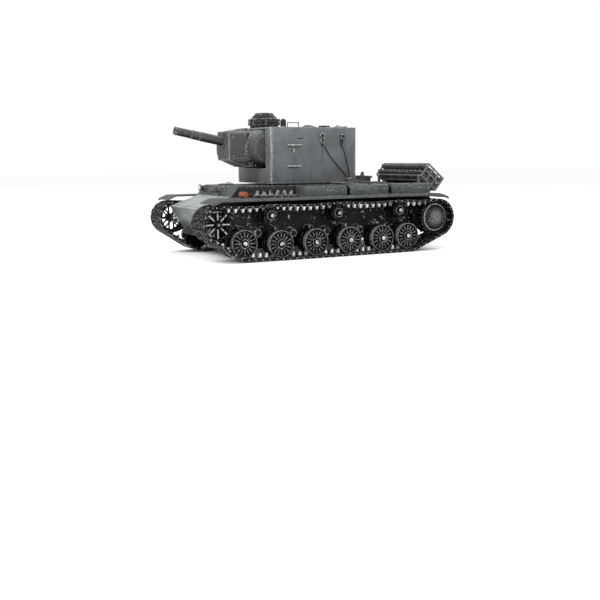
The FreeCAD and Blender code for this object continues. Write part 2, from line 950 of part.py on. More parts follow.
def tool_box(name, start, end):
    """Round-topped stowage box with a lid band and two latches, on the fender."""
    long = f"({end}) - ({start})"
    wide = "box_outer - box_inner"
    case = box(name + "_case", (wide, long, "box_tall"), ("box_inner", start, "fender_top"))
    top = number("fender_top + box_tall")

    def is_top_long(edge):
        middle = edge.CenterOfMass
        along = abs(edge.Vertexes[0].Point.y - edge.Vertexes[1].Point.y)
        return abs(middle.z - top) < 0.01 and along > 1

    soft = rounded(name + "_soft", case, "box_round", is_top_long)
    pieces = [soft]
    pieces.append(box(
        name + "_band", (wide + " + 0.8", long + " - 1.6", "1"),
        ("box_inner - 0.4", f"({start}) + 0.8", "fender_top + box_tall * 0.52")))
    for part_way in ("0.25", "0.75"):
        pieces.append(box(
            name + "_latch_" + part_way[2:], ("1.4", "3", "4"),
            ("box_outer - 0.4", f"({start}) + ({long}) * {part_way} - 1.5",
             "fender_top + box_tall * 0.36")))
    return fuse(name, pieces)


left_boxes = gather("left_boxes", [
    tool_box("box_front", "-52", "13.4"),
    tool_box("box_middle", "20.4", "82.8"),
    tool_box("box_rear", "89.1", "154.9"),
])
keep(both_sides("tool_box_set", left_boxes), "tool_boxes")

spares = doc.addObject("Part::Feature", "spare_link_row")
row = []
for index in range(6):
    copy = link.copy()
    spot = number("fender_front") + 60 + index * number("link_pitch")
    height = number("fender_top + link_depth / 2")
    copy.Placement = Placement(Vector(number("track_centre"), spot, height), Rotation())
    row.append(copy)
spares.Shape = Part.makeCompound(row)
mallet = fuse("mallet", [
    rod("mallet_head", "4.2", "13", ("75", "-138.5", "fender_top + 4.25")),
    rod("mallet_handle", "1.2", "13", ("81.5", "-138.5", "fender_top + 4.25"), "y"),
])
keep(gather("fender_load", [spares, mallet]), "fender_stowage")


def hook(name, x):
    """Towing eye: a cheek plate with a hole, standing out of the nose plate."""
    cheek = fuse(name + "_cheek", [
        box(name + "_web", ("5", "20", "9"), (f"{x} - 2.5", "-178", "31")),
        rod(name + "_round", "4.5", "5", (f"{x} - 2.5", "-178", "35.5")),
    ])
    drilled = cut(name + "_drilled", cheek, rod(
        name + "_hole", "2.1", "9", (f"{x} - 4.5", "-178", "35.5")))
    return cut(name, drilled, tub_body)


lamp = fuse("head_lamp", [
    cone("lamp_bowl", "4.6", "2.6", "6", ("-38", "-152", "94.5"), "y"),
    rod("lamp_rim", "4.9", "1.4", ("-38", "-152.6", "94.5"), "y"),
    box("lamp_stalk", ("2", "9", "5"), ("-39", "-148", "88.5")),
])
roof_hatch = fuse("driver_hatch", [
    rod("hatch_seat", "11.5", "0.8", ("-24", "-117", "roof_height"), "z"),
    rod("hatch_lid", "10.2", "1.9", ("-24", "-117", "roof_height"), "z"),
])
keep(gather("front_set", [
    hook("hook_left", "30"),
    hook("hook_right", "-30"),
    cut("head_lamp_seated", lamp, deck_body),
    roof_hatch,
]), "front_fittings")

deck_links = doc.addObject("Part::Feature", "deck_link_stack")
slope = math.degrees(math.atan2(
    number("slope_height - roof_height"), number("slope_rear - roof_rear")))
lean = math.radians(slope)
stack = []
for level in range(3):
    if level < 2:
        copy = solid_box((-18, 18), (-4.6, 4.6), (-1.6, 1.6))
    else:
        copy = link.copy()
    rise = number("link_depth") * (level + 0.5)
    middle = Vector(
        -33,
        117 - rise * math.sin(lean),
        number("roof_height") + (117 - number("roof_rear")) * math.tan(lean)
        + rise / math.cos(lean))
    copy.Placement = Placement(middle, Rotation(Vector(1, 0, 0), slope))
    stack.append(copy)
deck_links.Shape = Part.makeCompound(stack)


def grille(name, x):
    """Raised intake frame with cross slats."""
    frame = cut(name + "_frame", box(
        name + "_outer", ("28", "30", "1.6"), (x, "74.5", "roof_height")), box(
        name + "_inner", ("24", "26", "3"), (f"{x} + 2", "76.5", "roof_height + 0.5")))
    slats = []
    for index in range(6):
        slats.append(box(
            f"{name}_slat_{index}", ("25", "1.4", "0.9"),
            (f"{x} + 1.5", f"78 + {index} * 4.2", "roof_height + 0.4")))
    return fuse(name, [frame] + slats)


keep(gather("deck_set", [
    grille("grille_left", "26"),
    grille("grille_right", "-54"),
    fuse("engine_hatch", [
        box("hatch_plate", ("38", "28", "1.2"), ("-19", "76", "roof_height")),
        rod("hatch_dome", "9", "2", ("0", "90", "roof_height"), "z"),
    ]),
    deck_links,
]), "engine_deck")


# ---------------------------------------------------------------- shell rack

def crate():
    """Lattice crate, built level: end panels, floor bars, shelf bars, tie bars."""
    long = "crate_long"
    tall = "crate_tall"
    bar = "crate_bar"
    thick = "1.6"
    full = "crate_half * 2"
    pieces = []
    for side, x in (("left", "crate_half - " + thick), ("right", "-crate_half")):
        panel = box("panel_" + side, (thick, long, tall), (x, "0", "0"))
        windows = []
        for column in range(3):
            for line in range(2):
                step = f"({long} - {bar}) / 3"
                lift = f"({tall} - {bar}) / 2"
                windows.append(box(
                    f"window_{side}_{column}_{line}",
                    ("6", f"{step} - {bar}", f"{lift} - {bar}"),
                    (f"{x} - 2", f"{bar} + {column} * {step}", f"{bar} + {line} * {lift}")))
        pieces.append(cut("lattice_" + side, panel, fuse("windows_" + side, windows)))
    for index in range(4):
        spot = f"({long} - {bar}) / 3 * {index}"
        pieces.append(box(f"floor_bar_{index}", (full, bar, thick), ("-crate_half", spot, "0")))
    for side, x in (("left", "52"), ("right", "-56")):
        pieces.append(box("floor_rail_" + side, ("4", long, thick), (x, "0", "0")))
    for index, spot in enumerate(("5", long + " - 8")):
        pieces.append(box(
            f"shelf_bar_{index}", (full, bar, thick),
            ("-crate_half", spot, f"({tall} - {thick}) / 2 - 0.2")))
    for index, spot in enumerate(("0", f"{long} - {bar}")):
        pieces.append(box(
            f"tie_bar_{index}", (full, bar, thick), ("-crate_half", spot, f"{tall} - {thick}")))
    for index in range(3):
        pieces.append(box(
            f"back_bar_{index}", (full, thick, bar),
            ("-crate_half", f"{long} - {thick}", f"({tall} - {bar}) / 2 * {index}")))
    for index in range(5):
        pieces.append(box(
            f"back_post_{index}", (bar, thick, tall),
            (f"-crate_half + (crate_half * 2 - {bar}) / 4 * {index}", f"{long} - {thick}", "0")))
    return fuse("crate", pieces)


def tilted(thing):
    """Hang a level piece at the crate's slope, from its lower front edge."""
    thing.Placement = Placement(
        Vector(), Rotation(Vector(1, 0, 0), number("crate_tilt")))
    return place(thing, "0", "crate_spot", "crate_height")


legs = []
for side_name, x in (("left", "52"), ("right", "-56")):
    legs.append(box("front_leg_" + side_name, ("4", "3", "18"), (x, "crate_spot", "crate_height - 18")))
    legs.append(box("rear_leg_" + side_name, ("4", "3", "14"), (x, "crate_spot + 11", "crate_height - 23")))
rack = cut("rack_on_deck", fuse("rack_solid", [tilted(crate())] + legs), deck_body)
keep(rack, "shell_rack")


def shell_row(name, height):
    """A row of dummy shells lying side by side, noses forward."""
    row_body = body(name)
    profile = sketch(row_body, "XY", height)
    base = "crate_long - 2"
    outline(profile, [
        ("0", base),
        ("shell_radius", base),
        ("shell_radius", "8"),
        ("shell_radius - 0.5", "7"),
        ("shell_radius - 0.6", "3"),
        ("shell_radius - 1.4", "-0.5"),
        ("shell_radius - 2.8", "-3.6"),
        ("0", "-5.4"),
    ])
    turned = turn(row_body, profile, "V_Axis")
    repeat = row_body.newObject("PartDesign::LinearPattern", name + "_repeat")
    repeat.Originals = [turned]
    repeat.Direction = (origin_part(row_body, "X_Axis"), [""])
    bind(repeat, "Length", "shell_pitch * 10")
    repeat.Occurrences = 11
    row_body.Tip = repeat
    return place(row_body, "-shell_pitch * 5")


LOWER_ROW = "1.6 + 0.4 + shell_radius"
UPPER_ROW = "(crate_tall - 1.6) / 2 - 0.2 + 1.6 + 0.4 + shell_radius"
keep(tilted(gather("shell_rows", [
    shell_row("shell_row_low", LOWER_ROW),
    shell_row("shell_row_high", UPPER_ROW),
])), "rack_shells")


# ---------------------------------------------------------------- turret

def plan(inset):
    """Turret plan, a long hexagon creased at the sides, drawn in by an inset."""
    return [
        (f"-(turret_front_half - {inset})", f"turret_front + {inset}"),
        (f"turret_front_half - {inset}", f"turret_front + {inset}"),
        (f"turret_crease_half - {inset}", "turret_crease"),
        (f"turret_rear_half - {inset}", f"turret_rear - {inset}"),
        (f"-(turret_rear_half - {inset})", f"turret_rear - {inset}"),
        (f"-(turret_crease_half - {inset})", "turret_crease"),
    ]


def turret_box():
    """Tall welded turret: plates, roof, ring floor, gun window, door and hatch holes."""
    turret = body("turret_box")
    drawing = sketch(turret, "XY", "turret_floor")
    outline(drawing, plan("0"))
    grow(turret, drawing, "turret_roof - turret_floor")
    drawing = sketch(turret, "XY", "turret_floor")
    outline(drawing, plan("turret_wall"))
    carve(turret, drawing, "turret_roof - turret_floor - turret_wall", backward=True)
    drawing = sketch(turret, "XY", "turret_floor")
    outline(drawing, plan("turret_wall / 2"))
    circle(drawing, "0", "ring_spot", "ring_radius - 4.5")
    grow(turret, drawing, "2.4")
    reach = "mantlet_radius + mantlet_clear"
    wide = "mantlet_half + mantlet_clear"
    drawing = sketch(turret, "XZ", "-turret_front")
    outline(drawing, [
        (f"-({wide})", f"trunnion_height - ({reach})"),
        (wide, f"trunnion_height - ({reach})"),
        (wide, f"trunnion_height + {reach}"),
        (f"-({wide})", f"trunnion_height + {reach}"),
    ])
    carve(turret, drawing, f"trunnion_spot - turret_front + {reach}")
    drawing = sketch(turret, "XZ", "-(turret_rear + 1)")
    outline(drawing, [
        ("-(door_half - 3)", "door_low + 3"),
        ("door_half - 3", "door_low + 3"),
        ("door_half - 3", "door_low + door_tall - 3"),
        ("-(door_half - 3)", "door_low + door_tall - 3"),
    ])
    carve(turret, drawing, "turret_wall + 2", backward=True)
    drawing = sketch(turret, "XY", "turret_roof")
    circle(drawing, "cupola_side", "cupola_spot", "11")
    carve(turret, drawing, "turret_wall + 1")
    slit = [("-42.2", "161.2"), ("-34.4", "161.2"), ("-34.4", "162.3"), ("-42.2", "162.3")]
    drawing = sketch(turret, "YZ", "turret_crease_half + 1")
    outline(drawing, slit)
    carve(turret, drawing, "3.4")
    drawing = sketch(turret, "YZ", "-(turret_crease_half + 1)")
    outline(drawing, slit)
    carve(turret, drawing, "3.4", backward=True)
    return turret


cheek_start = "mantlet_half + mantlet_clear"
cheek = box(
    "cheek_block", ("5", "16", "24"),
    (cheek_start, "turret_front + turret_wall - 0.5", "trunnion_height - 12"))
trunnion_bore = rod(
    "trunnion_bore", "3.2", "4", (cheek_start + " - 1", "trunnion_spot", "trunnion_height"))
keep(cut("turret_bored", fuse("turret_solid", [
    turret_box(), cheek, mirrored("cheek_right", cheek),
]), both_sides("trunnion_bores", trunnion_bore)), "turret_shell")

ring = body("ring")
drawing = sketch(ring, "XY", "roof_height - upper_wall - 1")
circle(drawing, "0", "ring_spot", "ring_radius")
circle(drawing, "0", "ring_spot", "ring_radius - 4")
grow(ring, drawing, "turret_floor - roof_height + upper_wall + 1")
keep(ring, "turret_ring")

envelope = body("envelope")
drawing = sketch(envelope, "XY", "turret_floor")
outline(drawing, plan("0"))
grow(envelope, drawing, "turret_roof - turret_floor")


def rung(name, start, end, height):
    """Grab rung: a bar on two stand-offs."""
    out = "turret_crease_half + 2.2"
    return fuse(name, [
        rod(name + "_bar", "0.8", f"({end}) - ({start})", (out, start, height), "y"),
        rod(name + "_foot_a", "0.8", out + " - 45", ("45", start, height)),
        rod(name + "_foot_b", "0.8", out + " - 45", ("45", end, height)),
        ball(name + "_end_a", "0.8", (out, start, height)),
        ball(name + "_end_b", "0.8", (out, end, height)),
    ])


def lifting_eye(name, spot, top, x):
    """Lug on the turret side with a long shackle hanging from it."""
    loop = body(name + "_loop")
    for inset, action in (("0", grow), ("1.7", carve)):
        drawing = sketch(loop, "YZ", x + " - 0.9")
        half = f"(3.3 - {inset})"
        outline(drawing, [
            (f"{spot} - {half}", f"{top} - 3 - {inset} / 2"),
            (f"{spot} - 1.4", f"{top} - {inset}"),
            (f"{spot} + 1.4", f"{top} - {inset}"),
            (f"{spot} + {half}", f"{top} - 3 - {inset} / 2"),
            (f"{spot} + {half}", f"{top} - 14 + {inset} / 2"),
            (f"{spot} + 1.4", f"{top} - 17 + {inset}"),
            (f"{spot} - 1.4", f"{top} - 17 + {inset}"),
            (f"{spot} - {half}", f"{top} - 14 + {inset} / 2"),
        ])
        if action is grow:
            grow(loop, drawing, "1.8")
        else:
            carve(loop, drawing, "4", symmetric=True)
    lug = box(name + "_lug", (f"{x} - 44", "2.6", "4.6"), ("45", f"{spot} - 1.3", f"{top} - 4"))
    return fuse(name, [lug, loop])


anchor = box("rope_anchor", ("10", "9", "4.2"), ("44.6", "36.6", "turret_floor + 2"))
iron_raw = gather("irons_raw", [
    rung("rung_high", "-57.9", "-37.6", "152.5"),
    rung("rung_low", "-58.2", "-39.5", "124"),
    rod("port_plug", "2.4", "10.6", ("45", "-50.2", "145.8")),
    lifting_eye("eye_front", "-4.2", "172", "56.6"),
    lifting_eye("eye_rear", "30.1", "169", "53.6"),
    anchor,
])
left_irons = cut("left_irons", iron_raw, envelope)
keep(both_sides("iron_set", left_irons), "turret_irons")

roof = "turret_roof"
keep(gather("roof_set", [
    fuse("sight_hood", [
        rod("hood_drum", "4", "8.5", ("30", "-52", roof), "z"),
        ball("hood_top", "4", ("30", "-52", roof + " + 8.5")),
        rod("hood_flange", "5.4", "1", ("30", "-52", roof), "z"),
    ]),
    fuse("hand_rail", [
        rod("rail_bar", "0.6", "19", ("30", "-46", roof + " + 7"), "y"),
        rod("rail_post_a", "0.6", "7.6", ("30", "-45.4", roof), "z"),
        rod("rail_post_b", "0.6", "7.6", ("30", "-27.6", roof), "z"),
    ]),
    fuse("fan_dome", [
        rod("fan_ring", "10", "1.4", ("30", "-12", roof), "z"),
        cone("fan_cap", "8.6", "5", "2.2", ("30", "-12", roof + " + 1.4"), "z"),
    ]),
    fuse("vent_hood", [
        box("vent_base", ("15", "16", "1"), ("22.5", "5.5", roof)),
        box("vent_top", ("11", "12", "3.4"), ("24.5", "7.5", roof)),
    ]),
    fuse("loader_hatch", [
        rod("loader_seat", "9.4", "1", ("30", "39", roof), "z"),
        rod("loader_lid", "8.2", "2.2", ("30", "39", roof), "z"),
        box("loader_hinge", ("8", "2.4", "2.4"), ("26", "47.2", roof)),
    ]),
    fuse("rear_vent", [
        rod("rear_vent_ring", "8", "1.4", ("-26", "20", roof), "z"),
        rod("rear_vent_cap", "6", "2.6", ("-26", "20", roof), "z"),
    ]),
]), "roof_fittings")

door = fuse("door_leaf", [
    box("door_plate", ("door_half * 2", "door_thick", "door_tall"),
        ("-door_half", "turret_rear + 0.2", "door_low")),
    rod("door_knuckle_low", "1.5", "7", ("-door_half - 1.2", "turret_rear + 1.7", "door_low + 4"), "z"),
    rod("door_knuckle_high", "1.5", "7",
        ("-door_half - 1.2", "turret_rear + 1.7", "door_low + door_tall - 11"), "z"),
    box("door_handle", ("2.4", "3", "10"),
        ("door_half - 7", "turret_rear + door_thick", "door_low + door_tall / 2 - 5")),
])
keep(door, "rear_door")


# ---------------------------------------------------------------- cupola

cupola = body("cupola_body")
drawing = sketch(cupola, "XZ")
outline(drawing, [
    ("11", "turret_roof"),
    ("cupola_radius", "turret_roof"),
    ("cupola_radius", "cupola_top - 5.6"),
    ("cupola_radius - 1.6", "cupola_top - 5"),
    ("lid_radius + 1", "cupola_top"),
    ("11", "cupola_top"),
])
turn(cupola, drawing, "V_Axis")
drawing = sketch(cupola, "XY", "turret_roof + 5")
outline(drawing, [
    ("cupola_radius - 3", "-8.4"),
    ("block_out - 0.2", "-6.8"),
    ("block_out - 0.2", "6.8"),
    ("cupola_radius - 3", "8.4"),
])
vision_block = grow(cupola, drawing, "8.6")
around(cupola, [vision_block], 7, "Z_Axis")
place(cupola, "cupola_side", "cupola_spot")
keep(cupola, "cupola")


def half_lid(label, side):
    """One leaf of the cupola's split hatch, hinged at its outer edge."""
    base = "cupola_top + 0.2"
    disc = fuse(label + "_disc", [
        rod(label + "_plate", "lid_radius", "lid_thick - 1", ("cupola_side", "cupola_spot", base), "z"),
        cone(label + "_crown", "lid_radius", "lid_radius - 2", "1",
             ("cupola_side", "cupola_spot", base + " + lid_thick - 1"), "z"),
    ])
    start = "cupola_side - 30 + 0.1" if side > 0 else "cupola_side - 0.1"
    away_half = box(label + "_other", ("30", "40", "10"), (start, "cupola_spot - 20", base + " - 2"))
    return keep(cut(label + "_leaf", disc, away_half), label)


half_lid("cupola_hatch_left", 1)
half_lid("cupola_hatch_right", -1)


# ---------------------------------------------------------------- gun

bulb = body("bulb")
drawing = sketch(bulb, "XY")
outline(drawing, [
    ("-mantlet_half - 2", "0"),
    ("-mantlet_half - 2", "3"),
    ("-mantlet_half", "3"),
    ("-mantlet_half", "mantlet_radius - 8"),
    ("-mantlet_half + 4", "mantlet_radius - 3"),
    ("-mantlet_half + 11", "mantlet_radius"),
    ("mantlet_half - 11", "mantlet_radius"),
    ("mantlet_half - 4", "mantlet_radius - 3"),
    ("mantlet_half", "mantlet_radius - 8"),
    ("mantlet_half", "3"),
    ("mantlet_half + 2", "3"),
    ("mantlet_half + 2", "0"),
])
turn(bulb, drawing)
place(bulb, "0", "trunnion_spot", "trunnion_height")

shield = body("shield")
drawing = sketch(shield, "XZ", "-shield_front")
outline(drawing, [
    ("-shield_half + 6", "shield_low"),
    ("shield_half - 1.5", "shield_low"),
    ("shield_half", "shield_low + 1.5"),
    ("shield_half", "shield_high - 2"),
    ("shield_half - 2", "shield_high"),
    ("-shield_half + 5", "shield_high"),
    ("-shield_half", "shield_high - 16"),
    ("-shield_half", "shield_low + 11"),
])
grow(shield, drawing, "trunnion_spot - shield_front - mantlet_radius * 0.75", backward=True)
drawing = sketch(shield, "YZ")
outline(drawing, [
    ("shield_front + 2", "shield_high - 6"),
    ("shield_front + 2", "shield_high - 0.4"),
    ("trunnion_spot - 21", "shield_high + 4.6"),
    ("trunnion_spot - 15", "shield_high - 6"),
])
grow(shield, drawing, "shield_half + 9", symmetric=True)
drawing = sketch(shield, "YZ")
outline(drawing, [
    ("shield_front + 0.5", "shield_low + 1"),
    ("trunnion_spot - 27", "trunnion_height - mantlet_radius + 1.6"),
    ("trunnion_spot - 8", "trunnion_height - mantlet_radius + 2.6"),
    ("trunnion_spot - 8", "shield_low + 4"),
    ("shield_front + 0.5", "shield_low + 4"),
])
grow(shield, drawing, "shield_half + 10", symmetric=True)


def along_gun(thing):
    """Lay a piece built upward from the origin along the gun, from the trunnion."""
    thing.Placement = Placement(
        Vector(), Rotation(Vector(1, 0, 0), 90 - number("gun_angle")))
    return place(thing, "0", "trunnion_spot", "trunnion_height")


ROOT_START = "24"
sleeve = body("gun_sleeve")
drawing = sketch(sleeve, "XY", ROOT_START + " - recoil_travel - 1")
circle(drawing, "0", "0", "barrel_root + barrel_clear")
grow(sleeve, drawing, "60")
along_gun(sleeve)
keep(cut("mantlet_bored", fuse("mantlet_solid", [bulb, shield]), sleeve), "mantlet")

barrel = body("barrel")
drawing = sketch(barrel, "XZ")
outline(drawing, [
    ("0", ROOT_START),
    ("barrel_root", ROOT_START),
    ("barrel_root", "barrel_reach - 36"),
    ("barrel_root - 0.3", "barrel_reach - 35.8"),
    ("barrel_root - 0.3", "barrel_reach - 24"),
    ("barrel_radius + 0.2", "barrel_reach - 23.8"),
    ("barrel_radius", "barrel_reach - 6"),
    ("barrel_radius", "barrel_reach"),
    ("bore_radius", "barrel_reach"),
    ("bore_radius", "barrel_reach - 70"),
    ("0", "barrel_reach - 70"),
])
turn(barrel, drawing, "V_Axis")
along_gun(barrel)
keep(barrel, "gun_barrel")


# ---------------------------------------------------------------- wire ropes

def rope(label, route):
    """A wire rope of straight runs joined by tangent arcs, swept as one tube."""
    radius = number("rope_radius")
    points = [Vector(*p) for p in route]
    edges = []
    start = points[0]
    length = 0
    radii = []
    for before, corner, after in zip(points, points[1:], points[2:]):
        back = before - corner
        ahead = after - corner
        bend = math.pi - back.getAngle(ahead)
        trim = 0.45 * min(back.Length, ahead.Length)
        back.normalize()
        ahead.normalize()
        arc_radius = trim / math.tan(bend / 2)
        radii.append(round(arc_radius, 1))
        arc_start = corner + back * trim
        arc_end = corner + ahead * trim
        centre_way = (back + ahead).normalize()
        centre = corner + centre_way * math.hypot(trim, arc_radius)
        middle = centre - centre_way * arc_radius
        edges.append(Part.LineSegment(start, arc_start).toShape())
        edges.append(Part.Arc(arc_start, middle, arc_end).toShape())
        length += (arc_start - start).Length + arc_radius * bend
        start = arc_end
    edges.append(Part.LineSegment(start, points[-1]).toShape())
    length += (points[-1] - start).Length
    spine = Part.Wire(edges)
    section = Part.Wire(Part.makeCircle(radius, points[0], points[1] - points[0]))
    tube = spine.makePipeShell([section], True, True)
    expected = math.pi * radius ** 2 * length
    print(label, "arc radii", radii, "volume ratio", round(tube.Volume / expected, 4))
    thing = doc.addObject("Part::Feature", label + "_tube")
    thing.Shape = tube
    return keep(thing, label)


rope("rope_front", [
    (57.6, -4.0, 154.6),
    (57.5, 2.5, 143.0),
    (56.3, 14.0, 130.4),
    (54.6, 27.6, 117.4),
    (53.2, 38.8, 107.4),
])
rope("rope_rear", [
    (54.6, 30.5, 151.2),
    (54.3, 33.2, 140.2),
    (53.9, 36.8, 129.0),
    (53.5, 40.2, 118.2),
    (53.1, 42.6, 107.4),
])


# ---------------------------------------------------------------- output

doc.recompute()
for thing in doc.Objects:
    if "Invalid" in thing.State or "Error" in thing.State:
        raise RuntimeError("failed object: " + thing.Label)
for thing in nodes:
    if thing.Shape.isNull() or not thing.Shape.isValid() or not thing.Shape.Solids:
        raise RuntimeError("bad shape: " + thing.Label)

os.makedirs("parts", exist_ok=True)
for thing in nodes:
    thing.Shape.exportStep(f"parts/{thing.Label}.step")
print("sub-parts written:", len(nodes))
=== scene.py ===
import math

import bmesh
import bpy
from mathutils import Matrix, Vector


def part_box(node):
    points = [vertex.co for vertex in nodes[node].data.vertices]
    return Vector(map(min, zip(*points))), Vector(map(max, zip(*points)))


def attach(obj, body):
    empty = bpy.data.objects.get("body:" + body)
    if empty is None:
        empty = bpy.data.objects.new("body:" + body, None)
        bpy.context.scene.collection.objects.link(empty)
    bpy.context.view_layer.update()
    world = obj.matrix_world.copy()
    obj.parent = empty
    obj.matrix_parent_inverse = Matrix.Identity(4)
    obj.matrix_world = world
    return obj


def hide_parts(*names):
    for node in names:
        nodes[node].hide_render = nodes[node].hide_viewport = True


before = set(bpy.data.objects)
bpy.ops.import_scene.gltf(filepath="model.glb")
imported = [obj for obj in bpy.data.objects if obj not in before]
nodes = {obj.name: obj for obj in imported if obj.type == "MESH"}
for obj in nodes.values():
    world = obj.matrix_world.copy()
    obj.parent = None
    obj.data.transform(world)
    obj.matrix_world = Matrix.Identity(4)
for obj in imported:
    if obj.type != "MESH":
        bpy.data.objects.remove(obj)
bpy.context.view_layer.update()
MM = 0.001
UP = (0, 0, 1)

# Sizes and places that the materials and details below follow, in millimetres
TRACK_CENTRE = 81.875
LINK_LENGTH = 9.325
LINK_GAP = 0.8
WHEEL_AXLES = {
    "a": (-143.3, 24.25),
    "b": (-89.2, 21.45),
    "c": (-35.1, 21.45),
    "d": (19, 21.45),
    "e": (73.1, 21.45),
    "f": (116.5, 22.65),
}
IDLER_AXLE = (-180.6, 50.8)
SPROCKET_AXLE = (164.6, 47.5)
# From a road wheel's axle up and back to the pivot of its arm, along Y and Z
ARM_REACH = (31.5, 11.4)
# Inner faces of the track's runs on the ground and over the rollers
LOWER_RUN, UPPER_RUN = 3.4, 70.2
CUPOLA_X, CUPOLA_Y = -26, -54.3
SIDES = (("left", 1), ("right", -1))


def mm(*values):
    return Vector(values) * MM


# ------------------------------------------------------------------ camera

def aim_camera():
    """Stand where the model is seen from its left front corner, just above the fenders."""
    yaw, pitch, roll = 0.491773, 0.161367, -0.008667
    ahead = Vector((
        -math.cos(yaw) * math.cos(pitch),
        math.sin(yaw) * math.cos(pitch),
        -math.sin(pitch),
    ))
    level = Vector((math.sin(yaw), math.cos(yaw), 0))
    over = level.cross(ahead)
    right = level * math.cos(roll) + over * math.sin(roll)
    up = over * math.cos(roll) - level * math.sin(roll)
    data = bpy.data.cameras.new("camera")
    data.sensor_width = 36
    data.lens = 52.5936
    data.clip_end = 20
    camera = bpy.data.objects.new("camera", data)
    bpy.context.scene.collection.objects.link(camera)
    turn = Matrix((right, up, -ahead)).transposed().to_4x4()
    turn.translation = mm(1138.59, -621.74, 135.95)
    camera.matrix_world = turn
    bpy.context.scene.camera = camera


aim_camera()


# ------------------------------------------------------------------ node materials

class Paint:
    """A principled material put together from a few kinds of node."""

    def __init__(self, name):
        self.material = bpy.data.materials.new(name)
        self.material.use_nodes = True
        self.tree = self.material.node_tree
        self.shader = self.tree.nodes["Principled BSDF"]
        self.place = self.add("ShaderNodeTexCoord").outputs["Object"]
        self.geometry = self.add("ShaderNodeNewGeometry")

    def add(self, kind, **settings):
        made = self.tree.nodes.new(kind)
        for key, value in settings.items():
            setattr(made, key, value)
        return made

    def feed(self, socket, value):
        if isinstance(value, bpy.types.NodeSocket):
            self.tree.links.new(value, socket)
        elif isinstance(value, (tuple, list)) and len(value) == 3 and socket.type == "RGBA":
            socket.default_value = (*value, 1)
        else:
            socket.default_value = value

    def math(self, operation, a, b=0.0, clamp=False):
        made = self.add("ShaderNodeMath", operation=operation, use_clamp=clamp)
        self.feed(made.inputs[0], a)
        self.feed(made.inputs[1], b)
        return made.outputs[0]

    def times(self, a, b):
        return self.math("MULTIPLY", a, b)

    def most(self, a, b):
        return self.math("MAXIMUM", a, b)

    def rest(self, value):
        """What is left of 1."""
        return self.math("SUBTRACT", 1.0, value)

    def across(self):
        """Distance from the middle plane of the tank."""
        return self.math("ABSOLUTE", self.axis(self.place, "X"))

    def noise(self, scale, detail=4, rough=0.55, stretch=None):
        made = self.add("ShaderNodeTexNoise")
        made.inputs["Scale"].default_value = scale
        made.inputs["Detail"].default_value = detail
        made.inputs["Roughness"].default_value = rough
        where = self.place
        if stretch:
            mapping = self.add("ShaderNodeMapping")
            mapping.inputs["Scale"].default_value = stretch
            self.feed(mapping.inputs["Vector"], self.place)
            where = mapping.outputs[0]
        self.feed(made.inputs["Vector"], where)
        return made.outputs[0]

    def between(self, value, low, high):
        """0 below low, 1 above high, smooth between."""
        made = self.add("ShaderNodeMapRange", interpolation_type="SMOOTHSTEP")
        self.feed(made.inputs["Value"], value)
        made.inputs["From Min"].default_value = low
        made.inputs["From Max"].default_value = high
        return made.outputs[0]

    def mix(self, share, a, b):
        made = self.add("ShaderNodeMix", data_type="RGBA")
        self.feed(made.inputs[0], share)
        self.feed(made.inputs[6], a)
        self.feed(made.inputs[7], b)
        return made.outputs[2]

    def axis(self, source, name):
        made = self.add("ShaderNodeSeparateXYZ")
        self.feed(made.inputs[0], source)
        return made.outputs[name]

    def facing_up(self, low=0.35, high=0.9):
        return self.between(self.axis(self.geometry.outputs["Normal"], "Z"), low, high)

    def edges(self, radius, low=0.02, high=0.2):
        """1 close to a sharp edge, 0 on the flats."""
        soft = self.add("ShaderNodeBevel", samples=4)
        soft.inputs["Radius"].default_value = radius
        dot = self.add("ShaderNodeVectorMath", operation="DOT_PRODUCT")
        self.feed(dot.inputs[0], soft.outputs[0])
        self.feed(dot.inputs[1], self.geometry.outputs["Normal"])
        return self.between(self.math("SUBTRACT", 1.0, dot.outputs["Value"]), low, high)

    def radial(self, y, z):
        """Distance from an axle that runs along X."""
        dy = self.math("SUBTRACT", self.axis(self.place, "Y"), y)
        dz = self.math("SUBTRACT", self.axis(self.place, "Z"), z)
        return self.math("SQRT", self.math("ADD", self.math("MULTIPLY", dy, dy),
                                           self.math("MULTIPLY", dz, dz)))

    def bump(self, height, strength, distance):
        made = self.add("ShaderNodeBump")
        made.inputs["Strength"].default_value = strength
        made.inputs["Distance"].default_value = distance
        self.feed(made.inputs["Height"], height)
        self.feed(self.shader.inputs["Normal"], made.outputs[0])

    def finish(self, color, roughness, metallic=0.0):
        self.feed(self.shader.inputs["Base Color"], color)
        self.feed(self.shader.inputs["Roughness"], roughness)
        self.feed(self.shader.inputs["Metallic"], metallic)
        return self.material


def shade(color, factor):
    return tuple(channel * factor for channel in color)


BARE = (0.58, 0.585, 0.57)


